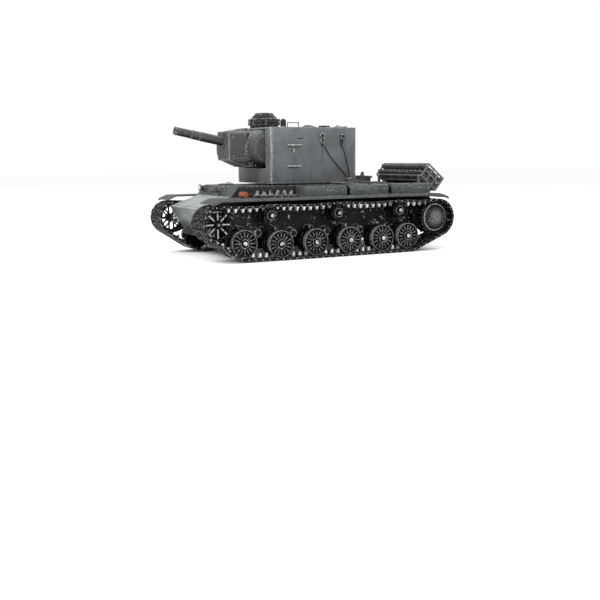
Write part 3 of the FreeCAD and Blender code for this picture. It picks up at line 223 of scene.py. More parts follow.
def armour(name, color, dust, chips=0.6, marks=None, level=0.28, more=None, last=None):
    """Matt armour paint: cloudy, streaked, dusty on top, painted shade on downward faces, chipped
    along its edges.
    """
    p = Paint(name)
    cloud = p.between(p.noise(38, 5), 0.35, 0.68)
    streak = p.between(p.noise(1, 5, 0.6, (170, 170, 16)), 0.5, 0.75)
    fine = p.noise(900, 3)
    base = p.mix(cloud, shade(color, 0.82), shade(color, 1.16))
    base = p.mix(p.times(streak, 0.4), base, shade(color, 0.5))
    up = p.times(p.facing_up(), p.math("ADD", p.times(cloud, 0.4), 0.5))
    base = p.mix(up, base, dust)
    # Painted shade: faces turned downward are darkened, standing in for the shade under things
    painted_shade_below = p.between(p.axis(p.geometry.outputs["Normal"], "Z"), -0.25, -0.7)
    base = p.mix(painted_shade_below, base, shade(color, 0.12))
    if marks:
        base = marks(p, base)
    wear = p.noise(260, 6, 0.7)
    rim = p.edges(0.0011, 0.02, 0.16)
    wide = p.edges(0.0045, 0.004, 0.06)
    dark_rim = p.times(p.edges(0.0024, 0.02, 0.3), 0.5)
    base = p.mix(dark_rim, base, shade(color, 0.4))
    worn = p.times(rim, p.between(wear, chips - 0.11, chips - 0.03))
    flake = p.between(p.noise(640, 4, 0.75), chips, chips + 0.04)
    bare = p.most(worn, p.times(wide, flake))
    if more:
        bare = p.most(bare, more(p))
    base = p.mix(p.times(bare, 0.85), base, BARE)
    if last:
        base = last(p, base)
    p.bump(p.math("ADD", fine, p.times(cloud, 0.6)), 0.2, 0.0002)
    p.shader.inputs["Specular IOR Level"].default_value = level
    rough = p.math("SUBTRACT", p.math("ADD", 0.52, p.times(cloud, 0.18)), p.times(bare, 0.2))
    return p.finish(base, rough)


def rubbed_metal(name, color, bright=BARE, metallic=0.55, low=0.4, high=0.56, marks=None,
                 level=0.16, rim=0.0008):
    """Dark cast metal with its edges and high spots rubbed bright."""
    p = Paint(name)
    grain = p.noise(300, 6, 0.65)
    rust = p.between(p.noise(70, 4), 0.5, 0.72)
    base = p.mix(rust, color, (color[0] * 1.7, color[1] * 1.35, color[2] * 1.1))
    worn = p.times(p.edges(rim, 0.03, 0.24), p.between(grain, low, high))
    # Extra marks join the rubbed wear; for the rungs they include a painted highlight
    if marks:
        worn = p.most(worn, marks(p, grain))
    base = p.mix(worn, base, bright)
    p.bump(grain, 0.35, 0.0003)
    p.shader.inputs["Specular IOR Level"].default_value = level
    rough = p.math("SUBTRACT", 0.6, p.times(worn, 0.26))
    return p.finish(base, rough, p.times(worn, metallic))


HULL = (0.088, 0.098, 0.09)
TURRET = (0.084, 0.09, 0.095)
BLACK = (0.0028, 0.0028, 0.0027)


def band(p, value, low, high, soft):
    """1 between low and high, falling to 0 outside within the soft distance."""
    rise = p.between(value, low - soft, low)
    return p.times(rise, p.rest(p.between(value, high, high + soft)))


def hull_side(p, base):
    """The lower hull's sides are painted nearly black as painted shade under the fenders; its front
    and tail are not.
    """
    across = p.across()
    side = p.between(across, 0.0556, 0.0561)
    cloud = p.between(p.noise(55, 5, 0.6), 0.42, 0.7)
    # Painted shade: the near-black side colour stands for the shade under the fenders, with wear
    # laid over it
    painted_shade_and_marks = p.mix(cloud, shade(BLACK, 0.5), (0.0065, 0.0068, 0.007))
    shiny = p.times(p.edges(0.0016, 0.02, 0.2), p.between(p.noise(160, 5), 0.42, 0.5))
    painted_shade_and_marks = p.mix(p.times(shiny, 0.9), painted_shade_and_marks, BARE)
    # Light patches in a band low on the sides: partly bare-metal wear, partly painted highlight on
    # the bolts
    wear_and_highlight_patch = p.times(p.between(p.noise(150, 5, 0.7), 0.6, 0.63),
                   band(p, p.axis(p.place, "Z"), 0.045, 0.064, 0.006))
    painted_shade_and_marks = p.mix(p.times(wear_and_highlight_patch, 0.85), painted_shade_and_marks, (0.6, 0.6, 0.62))
    proud = p.times(band(p, across, 0.0575, 0.07, 0.0005), p.between(p.noise(190, 5), 0.55, 0.58))
    painted_shade_and_marks = p.mix(p.times(proud, 0.8), painted_shade_and_marks, BARE)
    return p.mix(side, base, painted_shade_and_marks)


def scuffed_front(p, base):
    """Lighter, scuffed paint with fine scratches."""
    scratch = p.between(p.noise(1, 4, 0.6, (40, 260, 900)), 0.58, 0.66)
    return p.mix(p.times(scratch, 0.4), base, (0.3, 0.32, 0.3))


def lower_marks(p, base):
    """Scuffed nose and glacis, sides in painted shade, and a tail in the hull's own colour."""
    tail = p.between(p.axis(p.place, "Y"), -0.13, -0.11)
    return hull_side(p, p.mix(tail, scuffed_front(p, base), shade(HULL, 0.55)))


def worn_corner(p):
    """Dense chips on the turret's two front corners, which everything brushes against."""
    near = p.between(p.axis(p.place, "Y"), -0.0785, -0.083)
    out = p.between(p.across(), 0.0495, 0.0535)
    chip = p.between(p.noise(620, 5, 0.75), 0.53, 0.57)
    return p.times(p.times(near, out), chip)


def patch(p, y, z, soft=0.0004):
    """1 on the turret's sides inside a box of (low, high) millimetres along Y and Z."""
    flank = p.between(p.across(), 0.0485, 0.0495)
    along = band(p, p.axis(p.place, "Y"), y[0] * MM, y[1] * MM, soft)
    tall = band(p, p.axis(p.place, "Z"), z[0] * MM, z[1] * MM, soft)
    return p.times(flank, p.times(along, tall))


def turret_shade_and_stains(p, base):
    """Painted shade in the sight slit, painted shadow under the rungs, and soot round and below the
    shackles.
    """
    # Painted shade: the sight slit's recess is made black
    slit = patch(p, (-42.4, -34.2), (161.0, 162.5), 0.0002)
    # Painted shadow under the two rungs
    under = p.most(patch(p, (-57.5, -38), (149.6, 151.6)), patch(p, (-57.8, -40), (121.2, 123.2)))
    soot = p.most(patch(p, (-5.4, -2.6), (152, 168), 0.0022),
                  patch(p, (28.6, 32.6), (150, 164), 0.0022))
    run = p.times(patch(p, (-4.4, -3.2), (128, 152), 0.0016), 0.4)
    painted_shade_and_marks = p.most(p.times(under, 0.55), p.most(p.times(soot, 0.8), run))
    return p.mix(p.most(slit, painted_shade_and_marks), base, (0.006, 0.0062, 0.0065))


def mantlet_marks(p, base):
    """A dark joint behind the gun shield."""
    joint = band(p, p.axis(p.place, "Y"), -0.1045, -0.1008, 0.0008)
    inner = p.rest(p.between(p.across(), 0.0235, 0.0245))
    return p.mix(p.times(p.times(joint, inner), 0.85), base, (0.012, 0.013, 0.013))


def shaded_flank(p, base):
    """Painted shade: the upper hull's side walls are darkened where they stand behind the stowage.
    """
    flank = p.between(p.across(), 0.0596, 0.0599)
    return p.mix(p.times(flank, 0.85), base, (0.012, 0.013, 0.012))


hull_paint = armour("hull_paint", shade(HULL, 0.66), (0.062, 0.069, 0.063), 0.64, level=0.14)
upper_paint = armour("upper_hull_paint", shade(HULL, 0.55), (0.07, 0.077, 0.071), 0.6,
                     shaded_flank, 0.15)
lower_paint = armour("lower_hull_paint", (0.19, 0.212, 0.206), (0.25, 0.275, 0.268), 0.6,
                     lower_marks, 0.16)
turret_paint = armour("turret_paint", TURRET, (0.13, 0.14, 0.14), 0.57,
                      more=worn_corner, last=turret_shade_and_stains)
mantlet_paint = armour("mantlet_paint", shade(TURRET, 0.44), (0.12, 0.13, 0.13), 0.54,
                       mantlet_marks)
cupola_paint = armour("cupola_paint", shade(HULL, 0.1), (0.03, 0.033, 0.03), 0.57, level=0.12)
dark_paint = rubbed_metal("dark_paint", BLACK, metallic=0.4, low=0.42, high=0.54, rim=0.0014)
def lit_rungs(p, grain):
    """The rungs' bars get a painted highlight along their upper half; the shackles are rubbed
    bright only where they knock.
    """
    ahead = p.between(p.axis(p.place, "Y"), -0.03, -0.034)
    plug = band(p, p.axis(p.place, "Z"), 0.1425, 0.149, 0.0004)
    # Painted highlight: the upward-facing half of the rung bars is made bright
    bars = p.times(p.facing_up(-0.2, 0.2), p.times(ahead, p.rest(plug)))
    knocks = p.times(p.between(p.noise(420, 4, 0.7), 0.55, 0.58), 0.9)
    return p.most(p.times(bars, 0.7), knocks)


iron_paint = rubbed_metal("iron_paint", (0.006, 0.0062, 0.0066), (0.62, 0.63, 0.62), 0.2,
                          0.48, 0.56, marks=lit_rungs, rim=0.0012)
gun_metal = armour("gun_metal", shade(TURRET, 0.45), (0.09, 0.097, 0.097), 0.56, level=0.2)
shell_paint = armour("shell_paint", (0.034, 0.037, 0.036), (0.15, 0.155, 0.15), 0.56, level=0.2)
rack_paint = armour("rack_paint", (0.06, 0.066, 0.064), (0.16, 0.17, 0.168), 0.58)


def from_centre(p):
    """How far out a point is from the middle plane of the running gear, on either side."""
    return p.math("SUBTRACT", p.across(), TRACK_CENTRE * MM)


def tangent(first, second):
    """A point on, and the inward normal of, the line that runs under two (y, z, radius) circles."""
    ay, az, ar = first
    by, bz, br = second
    long = math.hypot(by - ay, bz - az)
    turn = math.atan2(bz - az, by - ay)
    tilt = math.asin((br - ar) / long)
    normal = (math.sin(turn + tilt - math.pi), math.cos(turn + tilt))
    return (ay - normal[0] * ar, az - normal[1] * ar), normal


def inside_belt(p):
    """How far a point of the track lies inward of the inner face of its links, in metres."""
    y, z = p.axis(p.place, "Y"), p.axis(p.place, "Z")
    depth = p.math("SUBTRACT", z, LOWER_RUN * MM)
    depth = p.math("MINIMUM", depth, p.math("SUBTRACT", UPPER_RUN * MM, z))
    for first, second in (((*IDLER_AXLE, 20.75), (*WHEEL_AXLES["a"], 18.25)),
                          ((*WHEEL_AXLES["f"], 18.25), (*SPROCKET_AXLE, 23.9))):
        (py, pz), (ny, nz) = tangent(first, second)
        away = p.math("ADD", p.times(p.math("SUBTRACT", y, py * MM), ny),
                      p.times(p.math("SUBTRACT", z, pz * MM), nz))
        depth = p.math("MINIMUM", depth, away)
    for cy, cz, radius, sign in ((*IDLER_AXLE, 20.6, -1), (*SPROCKET_AXLE, 23.7, 1)):
        beyond = p.math("GREATER_THAN", p.times(p.math("SUBTRACT", y, cy * MM), sign), 0.0)
        round_depth = p.math("SUBTRACT", radius * MM, p.radial(cy * MM, cz * MM))
        blocked = p.math("ADD", round_depth, p.rest(beyond))
        depth = p.math("MINIMUM", depth, blocked)
    return depth


def horn_shine(p, grain):
    """The guide horns, in the middle of the track, are rubbed almost white."""
    off = p.math("ABSOLUTE", from_centre(p))
    middle = p.rest(p.between(off, 0.0023, 0.0028))
    horn = p.between(inside_belt(p), 0.0, 0.0006)
    return p.times(p.times(middle, horn), p.between(grain, 0.3, 0.46))


track_metal = rubbed_metal(
    "track_metal", (0.0034, 0.003, 0.0027), (0.75, 0.75, 0.73), 0.4, 0.47, 0.55, marks=horn_shine,
    level=0.07, rim=0.0009)
link_metal = rubbed_metal("link_metal", (0.0036, 0.0032, 0.0029), (0.75, 0.75, 0.73), 0.4,
                          0.5, 0.56, level=0.07, rim=0.0011)
steel = rubbed_metal("steel", (0.03, 0.03, 0.03))
bright_metal = rubbed_metal("bright_metal", (0.1, 0.1, 0.098), (0.85, 0.85, 0.83), 0.6, 0.34, 0.46,
                            level=0.3, rim=0.0014)
speckled = rubbed_metal("speckled", shade(BLACK, 1.4), (0.8, 0.8, 0.8), 0.3, 0.46, 0.52,
                        level=0.2, rim=0.004)


def wheel_marks(kind, y, z):
    """Which parts of a wheel are rubbed bright, by how far they are from its axle."""
    def marks(p, grain):
        far = p.radial(y * MM, z * MM)
        out = from_centre(p)
        soft = 0.00025
        outer = p.between(out, 0.004, 0.005)
        if kind == "road_wheel":
            cap = p.times(band(p, far, 0.0, 0.0028, soft), 0.9)
            rib = p.times(p.between(out, 0.0107, 0.011), band(p, far, 0.0086, 0.0148, soft))
            rim = p.times(band(p, far, 0.0174, 0.0185, soft), 0.3)
            hub = p.times(band(p, far, 0.0056, 0.0062, soft), 0.4)
            shine = p.most(p.times(rib, 0.22), p.most(rim, hub))
        elif kind == "return_roller":
            cap = p.times(band(p, far, 0.0, 0.0024, soft), 0.7)
            shine = p.times(band(p, far, 0.0056, 0.0064, soft), 0.3)
        elif kind == "idler":
            cap = p.times(band(p, far, 0.0, 0.002, soft), 0.25)
            rib = p.times(p.between(out, 0.0104, 0.0108), band(p, far, 0.0062, 0.0176, soft))
            shine = p.times(rib, 0.6)
        else:
            cap = p.times(band(p, far, 0.0, 0.004, 0.013), 0.2)
            shine = p.times(band(p, far, 0.0182, 0.0196, soft), 0.6)
        both = p.most(cap, shine)
        return p.times(p.times(both, outer), p.between(grain, 0.36, 0.5))
    return marks


def plain(name, color, roughness, metallic=0.0, grain=500, depth=0.15, level=0.3):
    """A simple material with faint clouds and grain."""
    p = Paint(name)
    cloud = p.noise(grain, 4)
    base = p.mix(p.between(cloud, 0.3, 0.7), shade(color, 0.75), shade(color, 1.25))
    p.bump(cloud, depth, 0.0002)
    p.shader.inputs["Specular IOR Level"].default_value = level
    p.shader.inputs["Metallic"].default_value = metallic
    p.shader.inputs["Roughness"].default_value = roughness
    p.feed(p.shader.inputs["Base Color"], base)
    return p.material


glass = plain("dark_glass", (0.01, 0.012, 0.014), 0.08, 0.0, 60, 0.02, 0.6)
# Near-black for the lamp's lead and for the painted-shade slabs between the stowage boxes
dark_lead_and_gap_shade = plain("dark_lead_and_gap_shade", (0.008, 0.0075, 0.007), 0.8, 0.0, 900, 0.4, 0.1)
lens = plain("lens", (0.5, 0.52, 0.5), 0.12, 0.6, 90, 0.02, 0.5)


def load_material():
    """The fender load: worn spare links, and ahead of them a mallet with a fibre head."""
    p = Paint("fender_load")
    ahead = p.axis(p.place, "Y")
    grain = p.noise(300, 6, 0.65)
    worn = p.times(p.edges(0.0008, 0.03, 0.24), p.between(grain, 0.4, 0.55))
    off = p.math("ABSOLUTE", from_centre(p))
    horn = p.times(p.rest(p.between(off, 0.0022, 0.0027)), p.between(grain, 0.42, 0.54))
    worn = p.most(worn, p.times(horn, 0.45))
    metal = p.mix(worn, (0.006, 0.0055, 0.005), BARE)
    fibre = p.mix(p.between(p.noise(1, 6, 0.7, (160, 900, 900)), 0.35, 0.65),
                  (0.08, 0.02, 0.012), (0.34, 0.1, 0.055))
    handle = p.between(ahead, -0.13415, -0.1341)
    head = p.mix(handle, fibre, (0.05, 0.032, 0.02))
    base = p.mix(p.between(ahead, -0.1245, -0.1243), head, metal)
    p.bump(grain, 0.3, 0.0003)
    p.shader.inputs["Specular IOR Level"].default_value = 0.2
    return p.finish(base, 0.55, p.times(worn, 0.5))


fender_load = load_material()
rope_wire = rubbed_metal("rope_wire", (0.0045, 0.0045, 0.0045), (0.1, 0.1, 0.1), 0.4,
                         0.54, 0.64, level=0.1)


# ------------------------------------------------------------------ CAD nodes

def dress(name, material, bevel=0.25):
    """Give a CAD node its material and soften its edges."""
    thing = nodes[name]
    thing.data.materials.clear()
    thing.data.materials.append(material)
    thing.data.shade_smooth()
    weld = thing.modifiers.new("weld", "WELD")
    weld.merge_threshold = 0.00002
    soft = thing.modifiers.new("bevel", "BEVEL")
    soft.width = bevel * MM
    soft.segments = 2
    soft.limit_method = "ANGLE"
    soft.angle_limit = math.radians(34)
    soft.harden_normals = True
    soft.use_clamp_overlap = True


WHEEL_KINDS = ("road_wheel", "return_roller", "idler", "sprocket")
LOOKS = {
    "swing_arm": dark_paint,
    "track": track_metal,
    "fender_stowage": fender_load,
    "gun_barrel": gun_metal,
    "hull_gun": steel,
    "rack_shells": shell_paint,
    "shell_rack": rack_paint,
    "lower_hull": lower_paint,
    "upper_hull": upper_paint,
    "mantlet": mantlet_paint,
    "turret_shell": turret_paint,
    "turret_ring": dark_paint,
    "turret_irons": iron_paint,
    "rear_door": turret_paint,
    "roof_fittings": cupola_paint,
    "cupola": cupola_paint,
    "cupola_hatch": cupola_paint,
}


def dress_all():
    """Dress every CAD node by its kind; each wheel gets its own material, rubbed about its axle."""
    for name in nodes:
        kind = name.split("_left")[0].split("_right")[0]
        if kind in WHEEL_KINDS:
            low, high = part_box(name)
            middle = (Vector(low) + Vector(high)) / 2 / MM
            letter = name.rsplit("_", 1)[-1] if kind in ("road_wheel", "return_roller") else "only"
            key = f"{kind}_{letter}"
            material = bpy.data.materials.get(key)
            if material is None:
                color = (0.008, 0.0078, 0.0075) if kind == "sprocket" else BLACK
                material = rubbed_metal(key, color, marks=wheel_marks(kind, middle.y, middle.z),
                                        low=0.52, high=0.58, level=0.05)
            dress(name, material, 0.2)
        else:
            dress(name, LOOKS.get(kind, hull_paint), 0.2 if kind == "track" else 0.28)


dress_all()


# ------------------------------------------------------------------ pieces

def made(name, mesh_or_curve, body, material, slot=None):
    """Put a new piece in the scene, riding a body."""
    thing = bpy.data.objects.new(name, mesh_or_curve)
    bpy.context.scene.collection.objects.link(thing)
    mesh_or_curve.materials.clear()
    mesh_or_curve.materials.append(material)
    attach(thing, body)
    return thing


def from_bmesh(name, work, body, material, slot=None, smooth=True):
    mesh = bpy.data.meshes.new(name)
    work.normal_update()
    work.to_mesh(mesh)
    work.free()
    if smooth:
        mesh.shade_smooth()
    return made(name, mesh, body, material, slot)


def basis(normal):
    normal = Vector(normal).normalized()
    side = normal.orthogonal().normalized()
    return side, normal.cross(side), normal


def studs(name, body, material, spots, radius=0.8, height=0.6, sides=10, slot=None):
    """Domed bolt heads standing on the given points, in millimetres."""
    work = bmesh.new()
    for point, normal in spots:
        side, other, out = basis(normal)
        origin = Vector(point)
        rings = []
        for reach, lift in ((1, -0.2), (1, 0.45), (0.82, 0.85), (0.4, 1)):
            ring = []
            for step in range(sides):
                angle = math.tau * step / sides
                spot = origin + (side * math.cos(angle) + other * math.sin(angle)) * radius * reach
                ring.append(work.verts.new((spot + out * height * lift) * MM))
            rings.append(ring)
        for low, high in zip(rings, rings[1:]):
            for step in range(sides):
                after = (step + 1) % sides
                work.faces.new((low[step], low[after], high[after], high[step]))
        work.faces.new(rings[-1])
    return from_bmesh(name, work, body, material, slot)


def row(start, end, count, normal):
    """Evenly spaced points on a line, each with its normal."""
    start, end = Vector(start), Vector(end)
    return [(start.lerp(end, index / (count - 1)), normal) for index in range(count)]


def ring_of(centre, radius, count, normal, turn=0.0):
    """Evenly spaced points on a circle, each with its normal."""
    side, other, out = basis(normal)
    spots = []
    for index in range(count):
        angle = math.tau * index / count + turn
        spot = Vector(centre) + (side * math.cos(angle) + other * math.sin(angle)) * radius
        spots.append((spot, out))
    return spots


def bead(name, body, material, paths, radius=0.45, slot=None):
    """Weld beads: lumpy ribs along straight joints."""
    work = bmesh.new()
    for path in paths:
        for start, end in zip(path, path[1:]):
            start, end = Vector(start), Vector(end)
            side, other, out = basis(end - start)
            steps = max(2, int((end - start).length / (radius * 1.5)))
            before = None
            for step in range(steps + 1):
                swell = radius * (0.8 + 0.35 * (step % 2) + 0.1 * math.sin(step * 1.7))
                middle = start.lerp(end, step / steps)
                ring = []
                for turn in range(6):
                    angle = math.tau * turn / 6
                    spot = middle + (side * math.cos(angle) + other * math.sin(angle)) * swell
                    ring.append(work.verts.new(spot * MM))
                if before:
                    for turn in range(6):
                        after = (turn + 1) % 6
                        work.faces.new((before[turn], before[after], ring[after], ring[turn]))
                before = ring
    return from_bmesh(name, work, body, material, slot)


def lathe(name, body, material, origin, normal, profile, sides=32, slot=None, hole=False):
    """A turned piece: the profile is (radius, height) pairs along the normal, in millimetres.

    With a hole it closes on itself as a ring; otherwise both ends are capped.
    """
    work = bmesh.new()
    side, other, out = basis(normal)
    rings = []
    for radius, height in profile:
        rings.append([
            work.verts.new((Vector(origin) + out * height
                            + (side * math.cos(math.tau * t / sides)
                               + other * math.sin(math.tau * t / sides)) * radius) * MM)
            for t in range(sides)])
    following = rings[1:] + rings[:1] if hole else rings[1:]
    for low, high in zip(rings, following):
        for t in range(sides):
            after = (t + 1) % sides
            work.faces.new((low[t], low[after], high[after], high[t]))
    if not hole:
        work.faces.new(rings[0][::-1])
        work.faces.new(rings[-1])
    return from_bmesh(name, work, body, material, slot)


def slab(name, body, material, centre, size, turn=None, bevel=0.2, slot=None):
    """A small plate or block with rounded edges, sizes in millimetres."""
    work = bmesh.new()
    bmesh.ops.create_cube(work, size=1)
    bmesh.ops.scale(work, vec=Vector(size) * MM, verts=work.verts)
    bmesh.ops.bevel(work, geom=work.edges[:], offset=bevel * MM, segments=2, affect="EDGES")
    matrix = (turn or Matrix.Identity(3)).to_4x4()
    matrix.translation = Vector(centre) * MM
    bmesh.ops.transform(work, matrix=matrix, verts=work.verts)
    return from_bmesh(name, work, body, material, slot, smooth=False)


def wire(name, body, material, paths, radius, smooth=False, slot=None):
    """Round bar or wire bent along the given points, in millimetres."""
    curve = bpy.data.curves.new(name, "CURVE")
    curve.dimensions = "3D"
    curve.bevel_depth = radius * MM
    curve.bevel_resolution = 3
    curve.use_fill_caps = True
    for path in paths:
        line = curve.splines.new("NURBS" if smooth else "POLY")
        line.points.add(len(path) - 1)
        for point, spot in zip(line.points, path):
            point.co = (*(Vector(spot) * MM), 1)
        if smooth:
            line.order_u = 3
            line.use_endpoint_u = True
    return made(name, curve, body, material, slot)


# ------------------------------------------------------------------ track pins

def link_frames(name):
    """Middle and direction of every link, read from the flat outer end of each."""
    mesh = nodes[name].data
    reach = max(abs(v.co.x) for v in mesh.vertices) - 0.00001
    owner = {}

    def root(index):
        while owner.setdefault(index, index) != index:
            index = owner[index]
        return index

    for face in mesh.polygons:
        corners = list(face.vertices)
        if all(abs(mesh.vertices[c].co.x) > reach for c in corners):
            for corner in corners[1:]:
                owner[root(corner)] = root(corners[0])
    groups = {}
    for index in list(owner):
        groups.setdefault(root(index), []).append(mesh.vertices[index].co.copy())
    frames = []
    for corners in groups.values():
        middle = sum(corners, Vector()) / len(corners)
        far = max(corners, key=lambda c: (c - middle).length)
        edges = [corner - far for corner in corners]
        best = max(edges, key=lambda e: abs(e.length - LINK_LENGTH * MM) < 0.0002)
        frames.append((middle, best.normalized()))
    return frames


def track_pins(side, sign):
    """Hinge lobes and pin heads at every joint of a track."""
    frames = link_frames("track_" + side)
    heart = sum((m for m, _ in frames), Vector()) / len(frames)
    lobes, heads = bmesh.new(), bmesh.new()
    half = (LINK_LENGTH + LINK_GAP) / 2 * MM
    middle_x = sign * TRACK_CENTRE

    def drum(work, y, z, start, end, radius, turns=12):
        rings = []
        for x, r in ((start, radius * 0.8), (start + 0.25 * MM, radius),
                     (end - 0.25 * MM, radius), (end, radius * 0.8)):
            rings.append([work.verts.new((x, y + r * math.cos(math.tau * t / turns),
                                          z + r * math.sin(math.tau * t / turns)))
                          for t in range(turns)])
        for low, high in zip(rings, rings[1:]):
            for t in range(turns):
                work.faces.new((low[t], low[(t + 1) % turns], high[(t + 1) % turns], high[t]))
        work.faces.new(rings[0][::-1])
        work.faces.new(rings[-1])

    for middle, along in frames:
        out = middle - heart
        if along.y * out.z - along.z * out.y < 0:
            along = -along
        pin = middle + along * half
        for near, far in ((12.6, 21.5), (2.6, 7.6), (-7.6, -2.6), (-21.5, -12.6)):
            drum(lobes, pin.y, pin.z, (middle_x + near) * MM, (middle_x + far) * MM, 1.42 * MM)
        for end in (-21.78, 21.2):
            drum(heads, pin.y, pin.z, (middle_x + end) * MM, (middle_x + end + 0.56) * MM,
                 1.05 * MM, 10)
    from_bmesh(f"track_{side}_lobes", lobes, "hull", link_metal, "track_metal")
    from_bmesh(f"track_{side}_pins", heads, "hull", bright_metal, "track_metal")


for side, sign in SIDES:
    track_pins(side, sign)


# ------------------------------------------------------------------ hull details

# Outward directions of the driver's plate and the glacis
LEAN = math.atan2(11.5, 14)
PLATE_OUT = Vector((0, -math.cos(LEAN), math.sin(LEAN)))
GLACIS_OUT = (0, -15, 43.5)


def both(points):
    """The same points with their normals on both sides of the tank."""
    out = []
    for point, normal in points:
        out.append((point, normal))
        out.append(((-point[0], point[1], point[2]), (-normal[0], normal[1], normal[2])))
    return out


def hull_details():
    """Bolts of the suspension, the front plates, the fenders and the deck."""
    outward = (1, 0, 0)
    wall, fender_top, deck = 56, 83.5, 98
    spots = []
    for y, z in WHEEL_AXLES.values():
        spots += ring_of((59, y + ARM_REACH[0], z + ARM_REACH[1]), 6.3, 6, outward, 0.3)
        spots += [((wall, y - 0.5, z + 18), outward), ((wall, y + 12.5, z + 18), outward)]
    for y in (-102.3, 1.6, 103.7):
        spots += ring_of((wall, y, 59.9), 7.6, 6, outward, 0.5)
    for start, end, count in ((-150, -118, 4), (-84, -16, 7), (20, 86, 7)):
        spots += row((wall, start, 63), (wall, end, 63), count, outward)
    studs("hull_side_bolts", "hull", bright_metal, both(spots), 1.15, 1.2, slot="hull_paint")

    spots = ring_of(Vector((20, -141.75, 91)) + PLATE_OUT * 2.0, 6.4, 8, PLATE_OUT)
    spots += [((x, -138.5, 95.0), PLATE_OUT) for x in (-54, -46, 34, 42, 50, 56)]
    spots += ring_of((-24, -117, 98.8), 10.8, 12, UP)
    studs("front_bolts", "hull", hull_paint, spots, 0.7, 0.7, slot="hull_paint")

    spots = row((-50, -186.7, 70.5), (50, -186.7, 70.5), 13, GLACIS_OUT)
    studs("glacis_bolts", "hull", hull_paint, spots, 0.9, 0.7, slot="hull_paint")

    spots = row((101.6, -172, fender_top), (101.6, 150, fender_top), 28, UP)
    spots += row((63, -130, fender_top), (63, -60, fender_top), 7, UP)
    studs("fender_rivets", "hull", hull_paint, both(spots), 0.6, 0.45, slot="hull_paint")

    spots = row((-50, 66, deck), (50, 66, deck), 11, UP)
    spots += ring_of((0, 90, 99.2), 11, 10, UP)
    for x in (-40, 40):
        spots += [((x + dx, y, 99.6), UP) for dx in (-13, 13) for y in (76, 89.5, 103)]
    studs("deck_bolts", "hull", hull_paint, spots, 0.8, 0.6, slot="hull_paint")


hull_details()


def arm_caps():
    """Rubbed caps on the ends of the suspension arms' pivots."""
    profile = ((5.4, -1.4), (5.4, -0.6), (4.6, 0), (3.6, 0.2), (3.2, 1.0), (1.6, 1.3), (0.2, 1.35))
    for letter, (y, z) in WHEEL_AXLES.items():
        for side, sign in SIDES:
            lathe(f"arm_cap_{side}_{letter}", f"arm_{side}_{letter}", speckled,
                  (sign * 68.35, y + ARM_REACH[0], z + ARM_REACH[1]), (sign, 0, 0), profile,
                  24, "running_gear")


arm_caps()


def box_details():
    """Dark slabs between the stowage boxes as painted shade in the gaps, a hasp on each lid, and
    rivets along their faces.
    """
    for side, sign in SIDES:
        for index, y in enumerate((16.9, 85.95)):
            # Painted shade: a dark slab fills each gap between the boxes
            slab(f"box_gap_shade_{side}_{index}", "hull", dark_lead_and_gap_shade, (sign * 79.5, y, 90),
                 (25.6, 5.2, 12.6), bevel=2.6, slot="hull_paint")
        for index, y in enumerate((-19.3, 51.6, 122)):
            turn = Matrix.Rotation(sign * math.radians(42), 3, "Y")
            slab(f"box_hasp_{side}_{index}", "hull", steel, (sign * 91.5, y, 96.25),
                 (5.4, 6.4, 0.9), turn, 0.25, "hull_paint")
    spots = []
    for y in (-38, -19.3, -2, 33, 51.6, 70, 102, 122, 142):
        spots.append(((92.9, y, 92.2), (1, 0, 0)))
    studs("box_rivets", "hull", hull_paint, both(spots), 0.6, 0.5, slot="hull_paint")


box_details()


lathe("lamp_glass", "hull", lens, (-38, -152.2, 94.5), (0, -1, 0),
      ((3.9, 0), (3.8, 0.5), (2.8, 0.95), (1.4, 1.2), (0.2, 1.3)), slot="hull_paint")
wire("lamp_lead", "hull", dark_lead_and_gap_shade, [[(-38, -146.2, 94.2), (-40.5, -143.5, 96), (-42, -139.8, 97.4),
                                   (-43, -135.5, 98.1)]], 0.45, True, "hull_paint")
wire("hatch_grips", "hull", steel, [
    [(-30, -113, 99.8), (-30, -113, 101.6), (-24, -111, 101.9),
     (-18, -113, 101.6), (-18, -113, 99.8)],
    [(-5, 96, 99.8), (-5, 96.2, 102.2), (5, 96.2, 102.2), (5, 96, 99.8)],
], 0.5, True, "hull_paint")


def grille_mesh():
    """Woven wire under the slats of the two engine intakes."""
    paths = []
    for x in (-40, 40):
        for step in range(13):
            u = -12 + 2 * step
            paths.append([(x + u, 76.6, 98.75), (x + u, 102.4, 98.75)])
            v = 76.6 + 25.8 * step / 12
            paths.append([(x - 12, v, 98.95), (x + 12, v, 98.95)])
    wire("grille_mesh", "hull", steel, paths, 0.17, slot="hull_paint")


grille_mesh()


# ------------------------------------------------------------------ turret details

